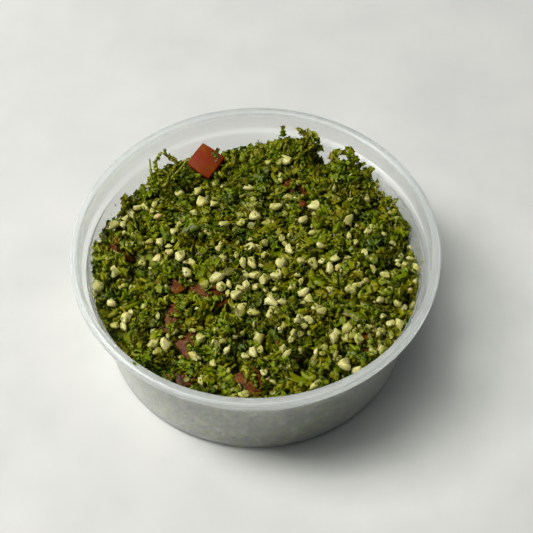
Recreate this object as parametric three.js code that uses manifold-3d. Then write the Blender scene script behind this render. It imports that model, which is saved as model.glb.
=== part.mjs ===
// Tabbouleh salad in the round plastic deli tub that it is sold in: a loose heap of chopped
// parsley, stems and bulgur wheat, with tomato dice sunk in it. Millimetres, +Z up. The origin is
// the centre of the tub's underside.
import * as THREE from "three";
import { mergeVertices } from "three/addons/utils/BufferGeometryUtils.js";
import Module from "manifold-3d";

const wasm = await Module();
wasm.setup();

// Driving dimensions of the tub
const rimRadius = 58.6;
const tubHeight = 43;
const wall = 0.7;
const lipWidth = 2.8;
const lipThickness = 0.8;
const skirtDrop = 3;
const collarDepth = 7.2;
const collarDraft = 0.4;
const ledgeWidth = 2.2;
const ledgeFall = 0.2;
const ledgeBevel = 0.4;
const baseRadius = 49.4;
const footRadius = 44;
const footSlope = 0.8;
const footRecess = 0.8;
const cornerRadius = 2;
const turnSteps = 60;

// Driving dimensions of the salad
const clearance = 0.3;
const edgeHeight = 30;
const moundHeight = 35.6;
const moundPower = 2.4;
const highestPiece = 38.3;
const ringSpacing = 3.4;
const ringJitter = 0.7;
const reliefDepth = 2.6;
const grainLength = 3.9;
const grainCount = 98;
const leafThickness = 0.55;
const leafCount = 66;
const stemRadius = 0.95;
const diceSide = 9.6;
const diceFlatness = 0.56;

const lipInnerRadius = rimRadius - lipWidth;
const ledgeHeight = tubHeight - collarDepth;
const ledgeOuterRadius = lipInnerRadius - collarDraft;
const ledgeInnerRadius = ledgeOuterRadius - ledgeWidth;
const floorHeight = footRecess + wall;
const floorCornerRadius = baseRadius - wall;

const fullTurn = 2 * Math.PI;
const upwards = new THREE.Vector3(0, 0, 1);

// One repeatable stream of numbers from 0 to 1 for each seed.
function seededRandom(seed) {
  let state = seed;
  return () => {
    state = (state + 0x6d2b79f5) | 0;
    let t = Math.imul(state ^ (state >>> 15), 1 | state);
    t = (t + Math.imul(t ^ (t >>> 7), 61 | t)) ^ t;
    return ((t ^ (t >>> 14)) >>> 0) / 4294967296;
  };
}

const spread = (random, low, high) => low + (high - low) * random();

const radians = THREE.MathUtils.degToRad;

// Points of an arc between two angles, for a rounded corner of a profile.
function arc(centreR, centreZ, radius, fromDegrees, toDegrees, steps = 2) {
  return Array.from({ length: steps + 1 }, (_, i) => {
    const a = radians(fromDegrees + ((toDegrees - fromDegrees) * i) / steps);
    return new THREE.Vector2(centreR + radius * Math.cos(a), centreZ + radius * Math.sin(a));
  });
}

// A profile of radius and height, turned about the Z axis.
function turned(profile) {
  return new THREE.LatheGeometry(profile, turnSteps).rotateX(Math.PI / 2);
}

// The tub's section: foot ring, drafted wall, stacking ledge, upright collar, and a lip whose
// outer edge turns down into a short skirt.
function tubProfile() {
  const point = (r, z) => new THREE.Vector2(r, z);
  const skirtInnerRadius = rimRadius - lipThickness;
  return [
    point(0, footRecess),
    point(footRadius, footRecess),
    point(footRadius + footSlope, 0),
    ...arc(baseRadius - cornerRadius, cornerRadius, cornerRadius, -90, 0),
    point(ledgeInnerRadius + wall, ledgeHeight - wall),
    point(ledgeOuterRadius + wall, ledgeHeight - wall + ledgeFall),
    point(lipInnerRadius + wall, tubHeight - lipThickness),
    point(skirtInnerRadius, tubHeight - lipThickness),
    point(skirtInnerRadius, tubHeight - skirtDrop),
    point(rimRadius, tubHeight - skirtDrop),
    ...arc(skirtInnerRadius, tubHeight - lipThickness, lipThickness, 0, 90),
    ...arc(lipInnerRadius + wall, tubHeight - wall, wall, 90, 180),
    point(ledgeOuterRadius, ledgeHeight + ledgeFall),
    point(ledgeInnerRadius + ledgeBevel, ledgeHeight),
    point(ledgeInnerRadius, ledgeHeight - ledgeBevel),
    ...arc(floorCornerRadius - cornerRadius, floorHeight + cornerRadius, cornerRadius, 0, -90),
    point(0, floorHeight),
  ];
}

// The room inside the tub, held a gap away from its wall and floor.
function roomProfile(gap) {
  const point = (r, z) => new THREE.Vector2(r, z);
  const cornerR = floorCornerRadius - cornerRadius;
  const cornerZ = floorHeight + cornerRadius;
  return [
    point(0, floorHeight + gap),
    ...arc(cornerR, cornerZ, cornerRadius - gap, -90, 0),
    point(ledgeInnerRadius - gap, ledgeHeight + gap),
    point(ledgeOuterRadius - gap, ledgeHeight + gap + ledgeFall),
    point(lipInnerRadius - gap, highestPiece),
    point(0, highestPiece),
  ];
}

// The wall's inside radius at a height below the ledge.
function wallRadius(z) {
  const bottom = floorHeight + cornerRadius;
  const share = Math.max(0, (z - bottom) / (ledgeHeight - bottom));
  return THREE.MathUtils.lerp(floorCornerRadius, ledgeInnerRadius, share);
}

// Where the heap is pushed up against the tub and where it falls away: bearing in degrees
// anticlockwise from +X, distance from the middle, rise and width.
const clumps = [
  { bearing: 72, reach: 47, rise: 5.6, width: 5.5 },
  { bearing: 50, reach: 47, rise: 4, width: 5 },
  { bearing: 61, reach: 51, rise: -4, width: 3.2 },
  { bearing: 124, reach: 48, rise: 4, width: 3.6 },
  { bearing: 98, reach: 49, rise: -2, width: 5 },
  { bearing: 146, reach: 50, rise: -2.6, width: 7 },
  { bearing: 177, reach: 50, rise: 4, width: 4 },
  { bearing: 165, reach: 43, rise: -3, width: 3.5 },
  { bearing: 198, reach: 50, rise: 4, width: 5 },
  { bearing: 12, reach: 51, rise: -4, width: 5 },
  { bearing: 345, reach: 51, rise: -3.4, width: 4.5 },
  { bearing: 320, reach: 44, rise: 1.6, width: 9 },
  { bearing: 230, reach: 33, rise: -1.2, width: 8 },
].map(({ bearing, reach, rise, width }) => ({
  x: reach * Math.cos(radians(bearing)),
  y: reach * Math.sin(radians(bearing)),
  rise,
  width,
}));

// Low waves left by the spoon, square to the axes and across them.
const spoonWave = { height: 0.7, alongX: 3.1, alongY: 3.7, startX: 1.3, startY: -0.4 };
const crossWave = { height: 0.5, rising: 2.1, falling: 1.9, start: 2 };

// The heap's own height without its pieces: a low mound, its clumps and its waves.
function heapHeight(x, y) {
  const share = Math.min(1, Math.hypot(x, y) / ledgeInnerRadius);
  let z = THREE.MathUtils.lerp(moundHeight, edgeHeight, share ** moundPower);
  for (const clump of clumps) {
    const d2 = (x - clump.x) ** 2 + (y - clump.y) ** 2;
    z += clump.rise * Math.exp(-d2 / (2 * clump.width ** 2));
  }
  const { height, alongX, alongY, startX, startY } = spoonWave;
  z += height * Math.sin(x / alongX + startX) * Math.sin(y / alongY + startY);
  const { rising, falling, start } = crossWave;
  z += crossWave.height * Math.sin((x + y) / rising + start) * Math.sin((x - y) / falling);
  return z;
}

// The outward direction of the heap's surface.
function heapNormal(x, y) {
  const step = 1.5;
  const dx = (heapHeight(x + step, y) - heapHeight(x - step, y)) / (2 * step);
  const dy = (heapHeight(x, y + step) - heapHeight(x, y - step)) / (2 * step);
  return new THREE.Vector3(-dx, -dy, 1).normalize();
}

// A closed geometry from vertices and triangles.
function closedGeometry(vertices, triangles) {
  const geometry = new THREE.BufferGeometry();
  geometry.setAttribute("position", new THREE.Float32BufferAttribute(vertices.flat(), 3));
  return geometry.setIndex(triangles.flat());
}

// The heap's bare core. Ring k of its top has 6k points, so that its bumps are as close together
// at the wall as in the middle. Below the outermost ring it follows the tub down to the floor.
function coreGeometry() {
  const random = seededRandom(11);
  const gap = clearance + 0.15;
  const rings = Math.round(ledgeInnerRadius / ringSpacing);
  const edgeRadius = wallRadius(edgeHeight) - gap;
  const vertices = [[0, 0, heapHeight(0, 0)]];
  const triangles = [];
  const firstOf = (k) => (k === 0 ? 0 : 1 + 3 * k * (k - 1));

  for (let k = 1; k <= rings; k++) {
    const edge = k === rings;
    const ceiling = edge ? ledgeHeight - 0.5 : highestPiece - 0.6;
    for (let i = 0; i < 6 * k; i++) {
      const a = (i / (6 * k)) * fullTurn;
      const r = edge ? edgeRadius : k * ringSpacing + spread(random, -ringJitter, ringJitter);
      const [x, y] = [r * Math.cos(a), r * Math.sin(a)];
      const z = heapHeight(x, y) + reliefDepth * (random() - 0.5);
      vertices.push([x, y, Math.min(z, ceiling)]);
    }
  }
  for (let k = 1; k <= rings; k++) {
    for (let side = 0; side < 6; side++) {
      for (let i = 0; i < k; i++) {
        const outer = firstOf(k) + ((side * k + i) % (6 * k));
        const outerNext = firstOf(k) + ((side * k + i + 1) % (6 * k));
        const inner = firstOf(k - 1) + (k === 1 ? 0 : (side * (k - 1) + i) % (6 * (k - 1)));
        triangles.push([outer, outerNext, inner]);
        if (i < k - 1) {
          const innerNext = firstOf(k - 1) + ((side * (k - 1) + i + 1) % (6 * (k - 1)));
          triangles.push([inner, outerNext, innerNext]);
        }
      }
    }
  }

  const around = 6 * rings;
  const belt = [
    [floorCornerRadius - gap, floorHeight + cornerRadius],
    [floorCornerRadius - cornerRadius, floorHeight + gap],
  ];
  let above = firstOf(rings);
  for (const [r, z] of belt) {
    const below = vertices.length;
    for (let i = 0; i < around; i++) {
      const a = (i / around) * fullTurn;
      vertices.push([r * Math.cos(a), r * Math.sin(a), z]);
    }
    for (let i = 0; i < around; i++) {
      const next = (i + 1) % around;
      triangles.push([above + i, below + i, below + next], [above + i, below + next, above + next]);
    }
    above = below;
  }
  const centre = vertices.push([0, 0, floorHeight + gap]) - 1;
  for (let i = 0; i < around; i++) {
    triangles.push([above + i, centre, above + ((i + 1) % around)]);
  }
  return closedGeometry(vertices, triangles);
}

// A cracked, swollen grain of bulgur: a rounded chunk with blunt, uneven corners.
function grainGeometry(random) {
  const chunk = new THREE.IcosahedronGeometry(1, 0);
  chunk.deleteAttribute("normal");
  chunk.deleteAttribute("uv");
  const geometry = mergeVertices(chunk, 1e-4);
  const position = geometry.attributes.position;
  const length = (grainLength / 2) * spread(random, 0.72, 1.25);
  const width = length * spread(random, 0.62, 0.85);
  const height = width * 0.9;
  for (let i = 0; i < position.count; i++) {
    const swell = spread(random, 0.82, 1.12);
    const [x, y, z] = [position.getX(i), position.getY(i), position.getZ(i)];
    position.setXYZ(i, x * length * swell, y * width * swell, z * height * swell);
  }
  return geometry;
}

// A scrap of chopped leaf: a thin wavy solid with an uneven, lobed edge.
function leafGeometry(random, length) {
  const lobes = 6;
  const width = length * spread(random, 0.5, 0.8);
  const wave = length * spread(random, 0.12, 0.22);
  const face = [[0, 0, wave]];
  for (let i = 0; i < lobes; i++) {
    const a = (i / lobes) * fullTurn;
    const reach = spread(random, 0.36, 0.56);
    const lift = wave * (i % 2 === 0 ? -1 : 0.7);
    face.push([length * reach * Math.cos(a), width * reach * Math.sin(a), lift]);
  }
  const vertices = [
    ...face.map(([x, y, z]) => [x, y, z + leafThickness / 2]),
    ...face.map(([x, y, z]) => [x, y, z - leafThickness / 2]),
  ];
  const under = face.length;
  const triangles = [];
  for (let i = 0; i < lobes; i++) {
    const here = 1 + i;
    const next = 1 + ((i + 1) % lobes);
    triangles.push(
      [0, here, next],
      [under, under + next, under + here],
      [here, under + here, under + next],
      [here, under + next, next],
    );
  }
  return closedGeometry(vertices, triangles);
}

// A short chopped stem: a bent six-sided rod.
function stemGeometry(random, length) {
  const sides = 6;
  const radius = stemRadius * spread(random, 0.85, 1.15);
  const bend = length * spread(random, 0.05, 0.14);
  const path = new THREE.QuadraticBezierCurve3(
    new THREE.Vector3(-length / 2, 0, 0),
    new THREE.Vector3(0, bend, bend),
    new THREE.Vector3(length / 2, 0, 0),
  );
  const section = new THREE.Shape(
    Array.from({ length: sides }, (_, i) => {
      const a = (i / sides) * fullTurn;
      return new THREE.Vector2(radius * Math.cos(a), radius * Math.sin(a));
    }),
  );
  return new THREE.ExtrudeGeometry(section, { steps: 3, extrudePath: path, bevelEnabled: false });
}

// Tomato dice by place, height of the middle above the heap, turn about Z, and the lean of the
// top face towards a bearing. The first lies free on top; the others are sunk and half covered.
const diceLayout = [
  { x: -15.8, y: 42.9, lift: 1.5, side: 1, turn: -37, lean: 20, towards: 268 },
  { x: -15, y: -11.8, lift: -2.8, side: 1.04, turn: 20, lean: 12, towards: 290 },
  { x: -26.6, y: -6.8, lift: -2.7, side: 0.86, turn: 28, lean: 14, towards: 240 },
  { x: -27.6, y: -19, lift: -2.8, side: 0.98, turn: 8, lean: 18, towards: 210 },
  { x: -19.6, y: -29, lift: -3, side: 0.94, turn: 35, lean: 10, towards: 260 },
  { x: -23.2, y: -40, lift: -2.3, side: 0.78, turn: 30, lean: 14, towards: 240 },
  { x: -3.2, y: -43.4, lift: -2.9, side: 1.02, turn: 28, lean: 12, towards: 280 },
  { x: -43.6, y: 11, lift: -1.9, side: 0.92, turn: 12, lean: 42, towards: 350 },
  { x: 12.6, y: 30.2, lift: -2.9, side: 0.84, turn: 40, lean: 12, towards: 300 },
  { x: 29.8, y: 34.8, lift: -2.6, side: 0.9, turn: 4, lean: 20, towards: 240 },
  { x: 33.6, y: -28.6, lift: -2.7, side: 0.8, turn: 48, lean: 20, towards: 310 },
  { x: 8.2, y: -35.6, lift: -3.2, side: 0.82, turn: 5, lean: 12, towards: 250 },
];

// The place and lean of one tomato die.
function diceMatrix({ x, y, lift, turn, lean, towards }) {
  const bearing = radians(towards);
  const axis = new THREE.Vector3(-Math.sin(bearing), Math.cos(bearing), 0);
  const leaning = new THREE.Quaternion().setFromAxisAngle(axis, radians(lean));
  const turning = new THREE.Quaternion().setFromAxisAngle(upwards, radians(turn));
  const place = new THREE.Vector3(x, y, heapHeight(x, y) + lift);
  return new THREE.Matrix4().compose(place, leaning.multiply(turning), new THREE.Vector3(1, 1, 1));
}

// A die of tomato flesh with its skin on top: the skin face is slightly domed and the knife cuts
// are not quite square. Grown by a gap, it also cuts the die's bed out of the heap.
function diceGeometry({ side }, seed, gap = 0) {
  const random = seededRandom(seed);
  const length = diceSide * side;
  const box = new THREE.BoxGeometry(length, length, length * diceFlatness, 2, 2, 1);
  box.deleteAttribute("normal");
  box.deleteAttribute("uv");
  const geometry = mergeVertices(box, 1e-4);
  const position = geometry.attributes.position;
  for (let i = 0; i < position.count; i++) {
    const [x, y, z] = [position.getX(i), position.getY(i), position.getZ(i)];
    const corner = Math.min(Math.abs(x), Math.abs(y)) > 0.1;
    const middle = Math.hypot(x, y) < 0.1;
    const crown = z > 0 && middle ? 0.06 * length : 0;
    const trim = corner ? spread(random, 0.92, 1) : spread(random, 0.97, 1.03);
    position.setXYZ(
      i,
      x * trim + Math.sign(x) * gap,
      y * trim + Math.sign(y) * gap,
      z + crown + Math.sign(z) * gap,
    );
  }
  return geometry;
}

// A manifold solid from a three.js geometry.
function solidOf(geometry) {
  const bare = geometry.clone();
  bare.deleteAttribute("normal");
  bare.deleteAttribute("uv");
  const merged = mergeVertices(bare, 1e-4);
  return new wasm.Manifold(
    new wasm.Mesh({
      numProp: 3,
      vertProperties: merged.attributes.position.array,
      triVerts: Uint32Array.from(merged.index.array),
    }),
  );
}

// A three.js geometry from a manifold solid.
function geometryOf(solid) {
  const mesh = solid.getMesh();
  const geometry = new THREE.BufferGeometry();
  geometry.setAttribute("position", new THREE.BufferAttribute(mesh.vertProperties, 3));
  geometry.setIndex(new THREE.BufferAttribute(mesh.triVerts, 1));
  geometry.computeVertexNormals();
  return geometry;
}

// The largest connected body of a solid, without loose scraps and sealed pockets.
function largestBody(solid) {
  return solid.decompose().reduce((best, body) => (body.volume() > best.volume() ? body : best));
}

// Even places on the heap: a sunflower spiral, loosened by a small random step. Places whose
// piece would lie on a tomato die are left out.
function places(count, seed, reach, diceRoom) {
  const random = seededRandom(seed);
  const goldenAngle = Math.PI * (3 - Math.sqrt(5));
  const looseness = 1.6;
  const found = [];
  for (let i = 0; i < count; i++) {
    const r = reach * Math.sqrt((i + 0.5) / count);
    const a = i * goldenAngle;
    const x = r * Math.cos(a) + spread(random, -looseness, looseness);
    const y = r * Math.sin(a) + spread(random, -looseness, looseness);
    const clear = diceLayout.every(
      (die) => Math.hypot(x - die.x, y - die.y) > (diceSide * die.side) / 2 + diceRoom,
    );
    if (clear && Math.hypot(x, y) < reach + 0.5) found.push({ x, y });
  }
  return found;
}

// Puts a piece on the heap, turned at random and leaning away from the surface by up to maxLean.
function placeOnHeap(geometry, { x, y }, random, raise, maxLean) {
  const standing = new THREE.Quaternion().setFromUnitVectors(upwards, heapNormal(x, y));
  const leanAxis = new THREE.Vector3(1, 0, 0).applyAxisAngle(upwards, fullTurn * random());
  const lean = new THREE.Quaternion().setFromAxisAngle(leanAxis, maxLean * random());
  const turn = new THREE.Quaternion().setFromAxisAngle(upwards, fullTurn * random());
  const rotation = standing.multiply(lean).multiply(turn);
  const place = new THREE.Vector3(x, y, heapHeight(x, y) + raise);
  return geometry.applyMatrix4(
    new THREE.Matrix4().compose(place, rotation, new THREE.Vector3(1, 1, 1)),
  );
}

function bulgurGrains() {
  const random = seededRandom(23);
  return places(grainCount, 5, 51, 1.4).map((place) =>
    placeOnHeap(grainGeometry(random), place, random, spread(random, 0.5, 1.2), 1.2),
  );
}

function leafScraps() {
  const random = seededRandom(37);
  return places(leafCount, 9, 52.5, 2.2).map((place) => {
    const length = spread(random, 4, 7);
    return placeOnHeap(leafGeometry(random, length), place, random, 0.2 * length, 1.25);
  });
}

function choppedStems() {
  const random = seededRandom(41);
  const stems = [
    { x: -41.3, y: -17.3 },
    { x: 5.5, y: 12.5 },
    { x: 26, y: 14 },
    { x: 21, y: -17 },
    { x: -12, y: 25 },
    { x: 12, y: -45 },
  ];
  return stems.map((place) =>
    placeOnHeap(stemGeometry(random, spread(random, 8, 12)), place, random, 0.8, 0.2),
  );
}

// The heap: its core with the pieces that show fused on, kept inside the tub, and with a bed cut
// for each tomato die.
function heapGeometry() {
  const pieces = [...bulgurGrains(), ...leafScraps(), ...choppedStems()].map(solidOf);
  const room = solidOf(turned(roomProfile(clearance)));
  let heap = wasm.Manifold.union([solidOf(coreGeometry()), ...pieces]).intersect(room);
  diceLayout.forEach((die, i) => {
    const bed = diceGeometry(die, i, clearance).applyMatrix4(diceMatrix(die));
    heap = heap.subtract(solidOf(bed));
  });
  return geometryOf(largestBody(heap));
}

function namedMesh(name, geometry, material) {
  const mesh = new THREE.Mesh(geometry, material);
  mesh.name = name;
  return mesh;
}

const tubPlastic = new THREE.MeshStandardMaterial({
  color: "#dfe3e2",
  roughness: 0.3,
  metalness: 0,
  transparent: true,
  opacity: 0.45,
});
const parsley = new THREE.MeshStandardMaterial({
  color: "#4c5a12",
  roughness: 0.55,
  metalness: 0,
});
const tomato = new THREE.MeshStandardMaterial({
  color: "#8a3014",
  roughness: 0.35,
  metalness: 0,
});

const tabbouleh = new THREE.Group();
tabbouleh.add(namedMesh("tub", turned(tubProfile()), tubPlastic));
tabbouleh.add(namedMesh("salad_heap", heapGeometry(), parsley));
diceLayout.forEach((die, i) => {
  const mesh = namedMesh(`tomato_die_${i + 1}`, diceGeometry(die, i), tomato);
  mesh.applyMatrix4(diceMatrix(die));
  tabbouleh.add(mesh);
});

export default tabbouleh;
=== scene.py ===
# %% [markdown]
# # Tabbouleh in a round deli tub
# The real thing is a shallow tub of translucent polypropylene, 117 mm across its rim and 43 mm
# tall, filled with finely chopped curly parsley, soaked bulgur wheat, a little onion and a few
# dice of tomato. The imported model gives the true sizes. This lesson dresses it: the tub is
# turned again with finer curves, and the faceted heap gives way to thousands of real scraps.

# %% Load the frame
import math

import bmesh
import bpy
import numpy as np
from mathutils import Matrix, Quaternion, Vector
from mathutils.bvhtree import BVHTree


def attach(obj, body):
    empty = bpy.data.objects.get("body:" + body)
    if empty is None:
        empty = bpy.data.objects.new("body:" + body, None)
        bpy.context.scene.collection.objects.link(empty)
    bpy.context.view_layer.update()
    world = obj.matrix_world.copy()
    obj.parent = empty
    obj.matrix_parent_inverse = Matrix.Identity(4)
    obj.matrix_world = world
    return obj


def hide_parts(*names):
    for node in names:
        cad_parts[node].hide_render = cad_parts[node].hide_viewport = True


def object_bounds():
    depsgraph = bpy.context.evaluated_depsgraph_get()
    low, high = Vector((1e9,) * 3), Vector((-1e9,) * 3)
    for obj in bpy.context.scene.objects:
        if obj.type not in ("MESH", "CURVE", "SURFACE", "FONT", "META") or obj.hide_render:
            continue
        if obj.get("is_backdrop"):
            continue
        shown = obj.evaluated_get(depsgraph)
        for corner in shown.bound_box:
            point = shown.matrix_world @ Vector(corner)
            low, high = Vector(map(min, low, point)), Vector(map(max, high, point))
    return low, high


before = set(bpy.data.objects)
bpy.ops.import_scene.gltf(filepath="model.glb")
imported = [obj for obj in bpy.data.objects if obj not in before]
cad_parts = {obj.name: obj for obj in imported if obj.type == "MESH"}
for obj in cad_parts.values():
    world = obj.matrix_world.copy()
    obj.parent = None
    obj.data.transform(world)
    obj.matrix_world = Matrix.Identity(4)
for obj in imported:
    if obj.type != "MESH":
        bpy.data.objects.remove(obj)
cad_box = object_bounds()

# %% [markdown]
# ## Working in millimetres
# Kitchen things are easiest to think of in millimetres, but Blender works in metres. So the
# sizes below are written in millimetres and multiplied by MM where a mesh is made. One seeded
# number generator serves every scatter, so that each run gives the same salad.

# %% Units, seed and selection
MM = 0.001
dice_roll = np.random.default_rng(20417)


def start_fresh():
    """Leave edit mode and deselect everything, so that the next operator acts on one piece."""
    if bpy.context.object and bpy.context.object.mode == "EDIT":
        bpy.ops.object.mode_set(mode="OBJECT")
    bpy.ops.object.select_all(action="DESELECT")


def pick_points(piece, wanted):
    """In edit mode, select just the points for which wanted(position) is true."""
    bpy.ops.mesh.select_all(action="DESELECT")
    bpy.ops.mesh.select_mode(type="VERT")
    shape = bmesh.from_edit_mesh(piece.data)
    for point in shape.verts:
        point.select = bool(wanted(point.co))
    shape.select_flush(True)
    bmesh.update_edit_mesh(piece.data)


def apply_modifier(piece, kind, **settings):
    """Add one modifier, set it up and apply it, as by hand."""
    modifier = piece.modifiers.new(kind.title(), kind)
    for name, value in settings.items():
        setattr(modifier, name, value)
    bpy.ops.object.modifier_apply(modifier=modifier.name)


start_fresh()
print("units and helpers ready")

# %% [markdown]
# ## Nodes and colours
# Colours are picked as sRGB hex values, as in any paint program, but the renderer wants linear
# light. One small function turns one into the other, and another adds a shader node with its
# settings and links in a single line, which keeps each material short enough to read.

# %% Colour and node helpers
def linear(hex_colour):
    """Turn an sRGB hex colour such as "c8c47a" into the linear RGBA that shaders use."""
    channels = [int(hex_colour[i:i + 2], 16) / 255 for i in (0, 2, 4)]
    lit = [c / 12.92 if c <= 0.04045 else ((c + 0.055) / 1.055) ** 2.4 for c in channels]
    return (*lit, 1.0)


def add_node(material, kind, links=None, **settings):
    """Add one node. Settings named like a socket set it; links join a socket to an output."""
    node = material.node_tree.nodes.new(kind)
    for name, value in settings.items():
        if hasattr(node, name):
            setattr(node, name, value)
        else:
            node.inputs[name.replace("_", " ")].default_value = value
    for socket, output in (links or {}).items():
        material.node_tree.links.new(output, node.inputs[socket])
    return node


def new_material(name):
    """Start a material with only its output node."""
    material = bpy.data.materials.new(name)
    material.use_nodes = True
    material.node_tree.nodes.clear()
    return material, material.node_tree.nodes.new("ShaderNodeOutputMaterial")


def colour_steps(ramp, *steps):
    """Fill a colour ramp with (position, hex) steps."""
    points = ramp.color_ramp.elements
    while len(points) < len(steps):
        points.new(0.5)
    for point, (position, hex_colour) in zip(points, steps):
        point.position = position
        point.color = linear(hex_colour)


print("linear mid grey:", [round(c, 3) for c in linear("808080")[:3]])

# %% [markdown]
# ## The camera
# The camera looks down at the tub from the front, about 55 degrees above the table, with a long
# lens from half a metre away. It is made first, because some pieces are placed by where they
# are seen: a line is followed from the eye through a place in the frame down to the salad.
# Places in the frame are counted in dots, across from its left and down from its top.

# %% The camera
frame_side = 533
lens_pixels = 1600
camera_height = math.radians(54.757)
camera_distance = 523.59
camera_roll = -0.01451508
tub_middle = Vector((0, 0, 20))
aim_point = Vector((3.578, 8.615, 20))
# How many dots a millimetre takes on the salad.
dots_a_mm = 3.13

eye = tub_middle + camera_distance * Vector((0, -math.cos(camera_height), math.sin(camera_height)))
gaze = (aim_point - eye).normalized()
turn = gaze.to_track_quat("-Z", "Y") @ Quaternion((0, 0, 1), camera_roll)
camera_data = bpy.data.cameras.new("camera")
camera_data.sensor_width = 36
camera_data.lens = 36 * lens_pixels / frame_side
camera_data.clip_start = 0.01
camera = bpy.data.objects.new("camera", camera_data)
bpy.context.collection.objects.link(camera)
camera.location = eye * MM
camera.rotation_mode = "QUATERNION"
camera.rotation_quaternion = turn
bpy.context.scene.camera = camera
print("lens:", round(camera_data.lens, 2), "mm")

# %% From the frame to the salad and back
view_axes = np.array(turn.to_matrix())
eye_place = np.array(eye)


def in_frame(places):
    """Where points given in millimetres are seen, as dots across and down the frame."""
    seen = (places - eye_place) @ view_axes
    scale = lens_pixels / -seen[:, 2]
    return frame_side / 2 + scale * seen[:, 0], frame_side / 2 - scale * seen[:, 1]


def line_of_sight(across, down):
    """The direction from the eye through a place in the frame."""
    return view_axes @ np.array([across - frame_side / 2, frame_side / 2 - down, -lens_pixels])


def under_frame(across, down, height_rule):
    """The place on a surface that is seen at a place in the frame, found in eight tries."""
    way = line_of_sight(across, down)
    first_guess = 33.0
    x, y, z = 0.0, 0.0, first_guess
    for attempt in range(8):
        reach = (z - eye_place[2]) / way[2]
        x, y = eye_place[0] + reach * way[0], eye_place[1] + reach * way[1]
        z = 0.5 * z + 0.5 * float(height_rule(np.array([x]), np.array([y]))[0])
    return x, y


def on_upright(across, down, y):
    """The place on an upright plane across the tub that is seen at a place in the frame."""
    way = line_of_sight(across, down)
    reach = (y - eye_place[1]) / way[1]
    return eye_place + reach * way


def at_the_back(across, down, height_rule, radius=51.0):
    """The place seen there on the far side of a round of this radius, or on the salad before it."""
    way = line_of_sight(across, down)
    a = way[0] ** 2 + way[1] ** 2
    b = eye_place[0] * way[0] + eye_place[1] * way[1]
    c = eye_place[0] ** 2 + eye_place[1] ** 2 - radius ** 2
    place = eye_place + (-b + math.sqrt(b * b - a * c)) / a * way
    if place[2] < height_rule(place[0:1], place[1:2])[0]:
        x, y = under_frame(across, down, height_rule)
        place = np.array([x, y, float(height_rule(np.array([x]), np.array([y]))[0])])
    return place


middle_seen = in_frame(np.array([[0.0, 0.0, 35.0]]))
print("the middle of the salad is seen at", [round(float(c[0])) for c in middle_seen])

# %% [markdown]
# ## The tub
# Deli tubs are injection moulded: a thin wall of one thickness that leans out a little, a ledge
# on which the lid sits, a short collar and a lip that turns down. Every section through the
# middle is the same, so the whole tub is one outline, drawn point by point with the extrude
# operator and spun round the upright axis. The corners get small arcs, because a moulded edge
# is never sharp, and those arcs are what catches the light. Smooth shading would bend the light
# on the flats as well, so each long flat gets one more point just inside either end.

# %% Tub sizes
rim_radius = 58.6
tub_height = 43.0
wall_thickness = 0.7
lip_width = 2.8
lip_thickness = 0.8
skirt_drop = 3.0
collar_depth = 7.2
collar_draft = 0.4
ledge_width = 2.2
ledge_fall = 0.2
base_radius = 49.4
foot_radius = 44.0
foot_slope = 0.8
foot_recess = 0.8
corner_radius = 2.0
lip_arc = 0.4
ledge_arc = 0.5

lip_inner_radius = rim_radius - lip_width
ledge_height = tub_height - collar_depth
ledge_outer_radius = lip_inner_radius - collar_draft
ledge_inner_radius = ledge_outer_radius - ledge_width
floor_height = foot_recess + wall_thickness
floor_radius = base_radius - wall_thickness


def wall_radius(z):
    """Radius of the inside of the wall at a height, in millimetres."""
    low = floor_height + corner_radius
    share = np.clip((z - low) / (ledge_height - low), 0, 1)
    return floor_radius + (ledge_inner_radius - floor_radius) * share


print("inside of the wall at 30 mm:", round(float(wall_radius(30)), 2))

# %% Tub outline
def arc(centre, radius, first, last, steps=6):
    """Points on an arc of the outline, as (distance from the axis, height)."""
    angles = np.radians(np.linspace(first, last, steps + 1))
    return [(centre[0] + radius * math.cos(a), centre[1] + radius * math.sin(a)) for a in angles]


lip_under = tub_height - lip_thickness
ledge_under = ledge_height - wall_thickness
cut = 0.3
# Outside, from the middle of the base up to the lip: the foot, the wall, the ledge, the collar.
tub_outline = [(0, foot_recess), (foot_radius - cut, foot_recess)]
tub_outline += [(foot_radius + 0.1, foot_recess - 0.15), (foot_radius + foot_slope - 0.1, 0.06)]
tub_outline += [(foot_radius + foot_slope + cut, 0)]
tub_outline += arc((base_radius - corner_radius, corner_radius), corner_radius, -90, -4)
tub_outline += [(ledge_inner_radius + wall_thickness, ledge_under - cut)]
tub_outline += [(ledge_inner_radius + wall_thickness + cut, ledge_under)]
tub_outline += [(ledge_outer_radius + wall_thickness - cut, ledge_under + ledge_fall)]
tub_outline += [(ledge_outer_radius + wall_thickness, ledge_under + ledge_arc)]
tub_outline += [(lip_inner_radius + wall_thickness, lip_under - cut)]
# The lip, round its turned-down skirt.
tub_outline += [(lip_inner_radius + wall_thickness + cut, lip_under)]
tub_outline += [(rim_radius - lip_thickness - cut, lip_under)]
tub_outline += [(rim_radius - lip_thickness, lip_under - cut)]
tub_outline += arc((rim_radius - lip_arc, tub_height - skirt_drop + lip_arc), lip_arc, 180, 360, 4)
tub_outline += arc((rim_radius - lip_thickness, tub_height - lip_thickness), lip_thickness, 0, 90)
# Inside, back down to the middle of the floor.
tub_outline += arc((lip_inner_radius + lip_arc, tub_height - lip_arc), lip_arc, 90, 180, 5)
tub_outline += arc((ledge_outer_radius - ledge_arc, ledge_height + 0.65), ledge_arc, 0, -90, 4)
tub_outline += arc((ledge_inner_radius + ledge_arc, ledge_height - ledge_arc), ledge_arc, 90, 176, 4)
tub_outline += arc((floor_radius - corner_radius, floor_height + corner_radius),
                   corner_radius, -4, -90)
tub_outline += [(0, floor_height)]


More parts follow.
